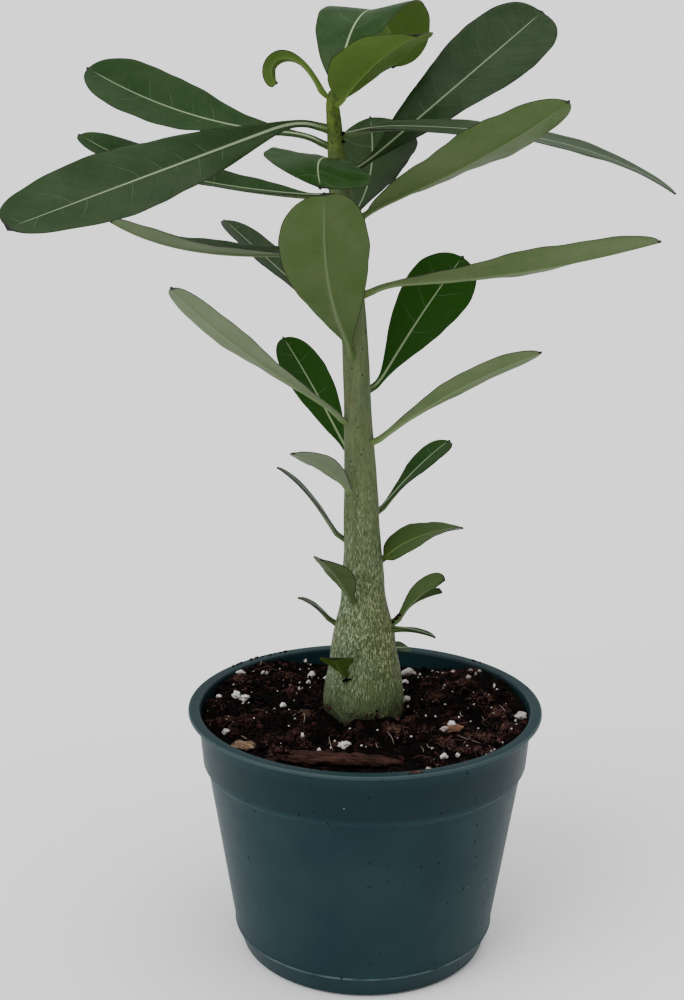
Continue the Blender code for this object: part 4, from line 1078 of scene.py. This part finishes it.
def build_fibres(material):
    """Roots and fibres of coir lying over the crumbs, most of them in the clumps, and a few pale straws."""
    draw = random.Random(FIBRE_SEED)
    starts = []
    for _ in range(FIBRES):
        starts.append((*on_soil(draw, 22.0, 72.0), draw.uniform(4.0, 13.0), draw.uniform(0.1, 0.24), 0.5))
    for middle_x, middle_y, reach, tone in CLUMPS:
        for _ in range(CLUMP_FIBRES):
            x, y = middle_x + draw.gauss(0.0, 0.5) * reach, middle_y + draw.gauss(0.0, 0.5) * reach
            if 21.0 < math.hypot(x, y) < 73.0:
                starts.append((x, y, draw.uniform(1.6, 5.0), draw.uniform(0.07, 0.14), tone + 0.15))
    heap = Heap()
    steps = np.linspace(0.0, 1.0, FIBRE_STEPS)
    bow = np.sin(np.pi * steps)
    for x, y, length, radius, tone in starts:
        heading = draw.uniform(0, 2 * math.pi)
        angles = heading + draw.gauss(0.0, 1.3) * steps
        arch = draw.uniform(0.2, 0.22 * length)
        line_x = x + np.cumsum(np.cos(angles)) * length / FIBRE_STEPS
        line_y = y + np.cumsum(np.sin(angles)) * length / FIBRE_STEPS
        inside = np.hypot(line_x, line_y) < WALL_CLEAR
        outside_stem = np.hypot(line_x - STEM_X, line_y) > STEM_CLEAR
        if inside.all() and outside_stem.all() and clear_of_bark(x, y, 1.0):
            line_z = np.minimum(soil_height(line_x, line_y) + 0.8 + arch * bow, POT_HEIGHT + 0.3)
            heap.add(*tube(line_x, line_y, line_z, radius, 4), random_tone(draw, tone, 0.25, 0.2))
    for straw in STRAWS:
        ends = zip(straw[:2], straw[2:])
        line_x, line_y = (a + (b - a) * steps + draw.gauss(0.0, 0.7) * bow for a, b in ends)
        line_z = np.max(soil_height(line_x, line_y)) + 0.7
        heap.add(*tube(line_x, line_y, line_z, draw.uniform(0.09, 0.18), 5), STRAW_TONE)
    heap.make("soil_fibres", material)


def build_perlite(material):
    """Puffed, broken grains half sunk in the soil, one of them on a chip of bark."""
    draw = random.Random(SOIL_SEED + 1)
    shapes = lump_shapes(10, 3, 0.58, 70.0)
    grains = list(PERLITE)
    while len(grains) < len(PERLITE) + SMALL_GRAINS:
        x, y = on_soil(draw, 21.0, 73.0)
        behind_stem = y > 10 and abs(x) < 22
        width = draw.uniform(*(GRAINS_BEHIND if behind_stem else GRAINS_IN_VIEW))
        if clear_of_bark(x, y, 3.0):
            grains.append((x, y, width, width * draw.uniform(0.6, 1.0)))
    heap = Heap()
    for (x, y, width, tall), height in zip(grains, soil_height(*np.array(grains)[:, :2].T)):
        points, faces = draw.choice(shapes)
        size = (width / 2, width / 2 * draw.uniform(0.6, 1.0), max(tall, 0.6 * width) / 2)
        lump = (points * size) @ np.array(Matrix.Rotation(draw.uniform(-0.4, 0.4), 3, "Z")).T
        tone = 0.75 if width > 6.0 else draw.random() ** 1.6
        for piece in BARK:
            if bark_offset(x, y, piece) < 1.0:
                height = height + 0.85 * piece[5]
        heap.add(lump + (x, y, height + 0.5 + 0.22 * tall), faces, tone)
    heap.make("perlite_grains", material)


def build_bark(piece, material):
    """A split of bark: long, crowned, ragged at its ends."""
    name, middle, heading, length, width, thickness = piece
    rows = max(int(length * 2.2), 30)
    along, angle = np.meshgrid(np.linspace(-1.0, 1.0, rows), all_round(BARK_SIDES), indexing="ij")
    end = np.sqrt(np.maximum(1 - np.abs(along) ** 7, 0.0)) * (1 - 0.35 * np.abs(along) ** 3)
    plump = 1 - 0.2 * along * (length > 20)
    y = 0.12 * width * np.sin(1.5 * along + 0.5) + width / 2 * end * plump * np.cos(angle)
    rise = np.sin(angle)
    over = np.sign(rise) * np.abs(rise) ** 0.8 * np.where(rise > 0, 0.9 * plump, 1.0)
    z = thickness / 2 * (1 + end * over)
    splinters = relief(stack(3.0 * np.sign(along), y, z), 1.3, 9.0)
    x = along * (length / 2 + END_SPLINTERS * splinters * np.abs(along) ** 5)
    raw = stack(x, y, z)
    ridges = relief(raw * (0.12, 1.0, 1.0), 1.3, 6.0) + 0.5 * relief(raw * (0.3, 1.0, 1.0), 0.7, 7.0)
    knots = relief(raw, 3.2, 8.0)
    outward = stack(0.0, np.cos(angle), rise)
    points = (raw + outward * (0.42 * ridges + 0.6 * knots)[..., None]).reshape(-1, 3)
    points[:, 2] = np.maximum(points[:, 2], 0.0)
    turn = np.array(Matrix.Rotation(math.radians(heading), 3, "Z"))
    placed = points @ turn.T + (*middle, soil_slope(*middle) + BED_LIFT + GAP)
    faces = grid_faces(rows, BARK_SIDES, wrap=True, flip=True)
    faces.append(tuple(range(BARK_SIDES)))
    faces.append(tuple(reversed(range((rows - 1) * BARK_SIDES, rows * BARK_SIDES))))
    obj = make_object(name + "_split", placed, faces, "bark_brown", [material], attributes={"crumb": points})
    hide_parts(name)


def build_leaves():
    upper, under, young_upper, young_under = (leaf_paint(*face) for face in LEAF_FACES)
    for form in LEAVES:
        young = form["name"] in YOUNG_LEAVES
        young_below = young or form["name"] in PALE_BELOW_LEAVES
        young_above = young or form["name"] in OLIVE_LEAVES
        faces = (young_upper if young_above else upper, young_under if young_below else under)
        build_leaf(form, *faces, "young_leaf_green" if young else "leaf_green")


def build_set():
    """A plain pale floor, a soft sky, two wide soft lamps and the camera."""
    bpy.ops.mesh.primitive_circle_add(
        vertices=128, radius=FLOOR_REACH, fill_type="NGON", location=FLOOR_PLACE)
    floor = bpy.context.object
    floor.name = "floor"
    pale = Paint("floor_pale")
    pale.plug(pale.shader.inputs["Base Color"], (0.86, 0.86, 0.86))
    pale.plug(pale.shader.inputs["Roughness"], 0.9)
    floor.data.materials.append(pale.material)

    world = bpy.data.worlds.new("soft_sky")
    world.use_nodes = True
    tree = world.node_tree
    sky = tree.nodes["Background"]
    sky.inputs["Color"].default_value = (1.0, 1.0, 1.0, 1.0)
    seen_by = tree.nodes.new("ShaderNodeLightPath")
    strength = tree.nodes.new("ShaderNodeMix")
    strength.inputs[2].default_value = SKY_LIGHT
    strength.inputs[3].default_value = SKY_SEEN
    tree.links.new(seen_by.outputs["Is Camera Ray"], strength.inputs[0])
    tree.links.new(strength.outputs[0], sky.inputs["Strength"])
    bpy.context.scene.world = world

    for name, source, strength, width in LAMPS:
        light = bpy.data.lights.new(name, "SUN")
        light.energy = strength
        light.angle = math.radians(width)
        lamp = put(name, light)
        lamp.location = source
        lamp.rotation_euler = Vector(source).to_track_quat("Z", "Y").to_euler()

    data = bpy.data.cameras.new("camera")
    data.lens = CAMERA_LENS
    data.sensor_width = 36.0
    data.clip_start = 0.01
    camera = put("camera", data)
    turn = Matrix.Translation(Vector(CAMERA_PLACE) * MM)
    for angle, axis in CAMERA_TURNS:
        turn = turn @ Matrix.Rotation(math.radians(angle), 4, axis)
    camera.matrix_world = turn
    bpy.context.scene.camera = camera


def main():
    peat = soil_paint()
    build_pot(pot_paint())
    build_soil_bed(peat)
    build_crumbs(peat)
    build_fibres(peat)
    build_perlite(perlite_paint())
    build_stem(stem_paint())
    build_leaves()
    brown = bark_paint("bark_brown_grain", (0.009, 0.0045, 0.0038), (0.062, 0.028, 0.021))
    tan = bark_paint("bark_tan_grain", (0.05, 0.027, 0.015), (0.3, 0.2, 0.13))
    orange = bark_paint("bark_orange_grain", (0.045, 0.02, 0.012), (0.29, 0.15, 0.092))
    for piece, material in zip(BARK, (brown, tan, orange)):
        build_bark(piece, material)
    build_set()


main()
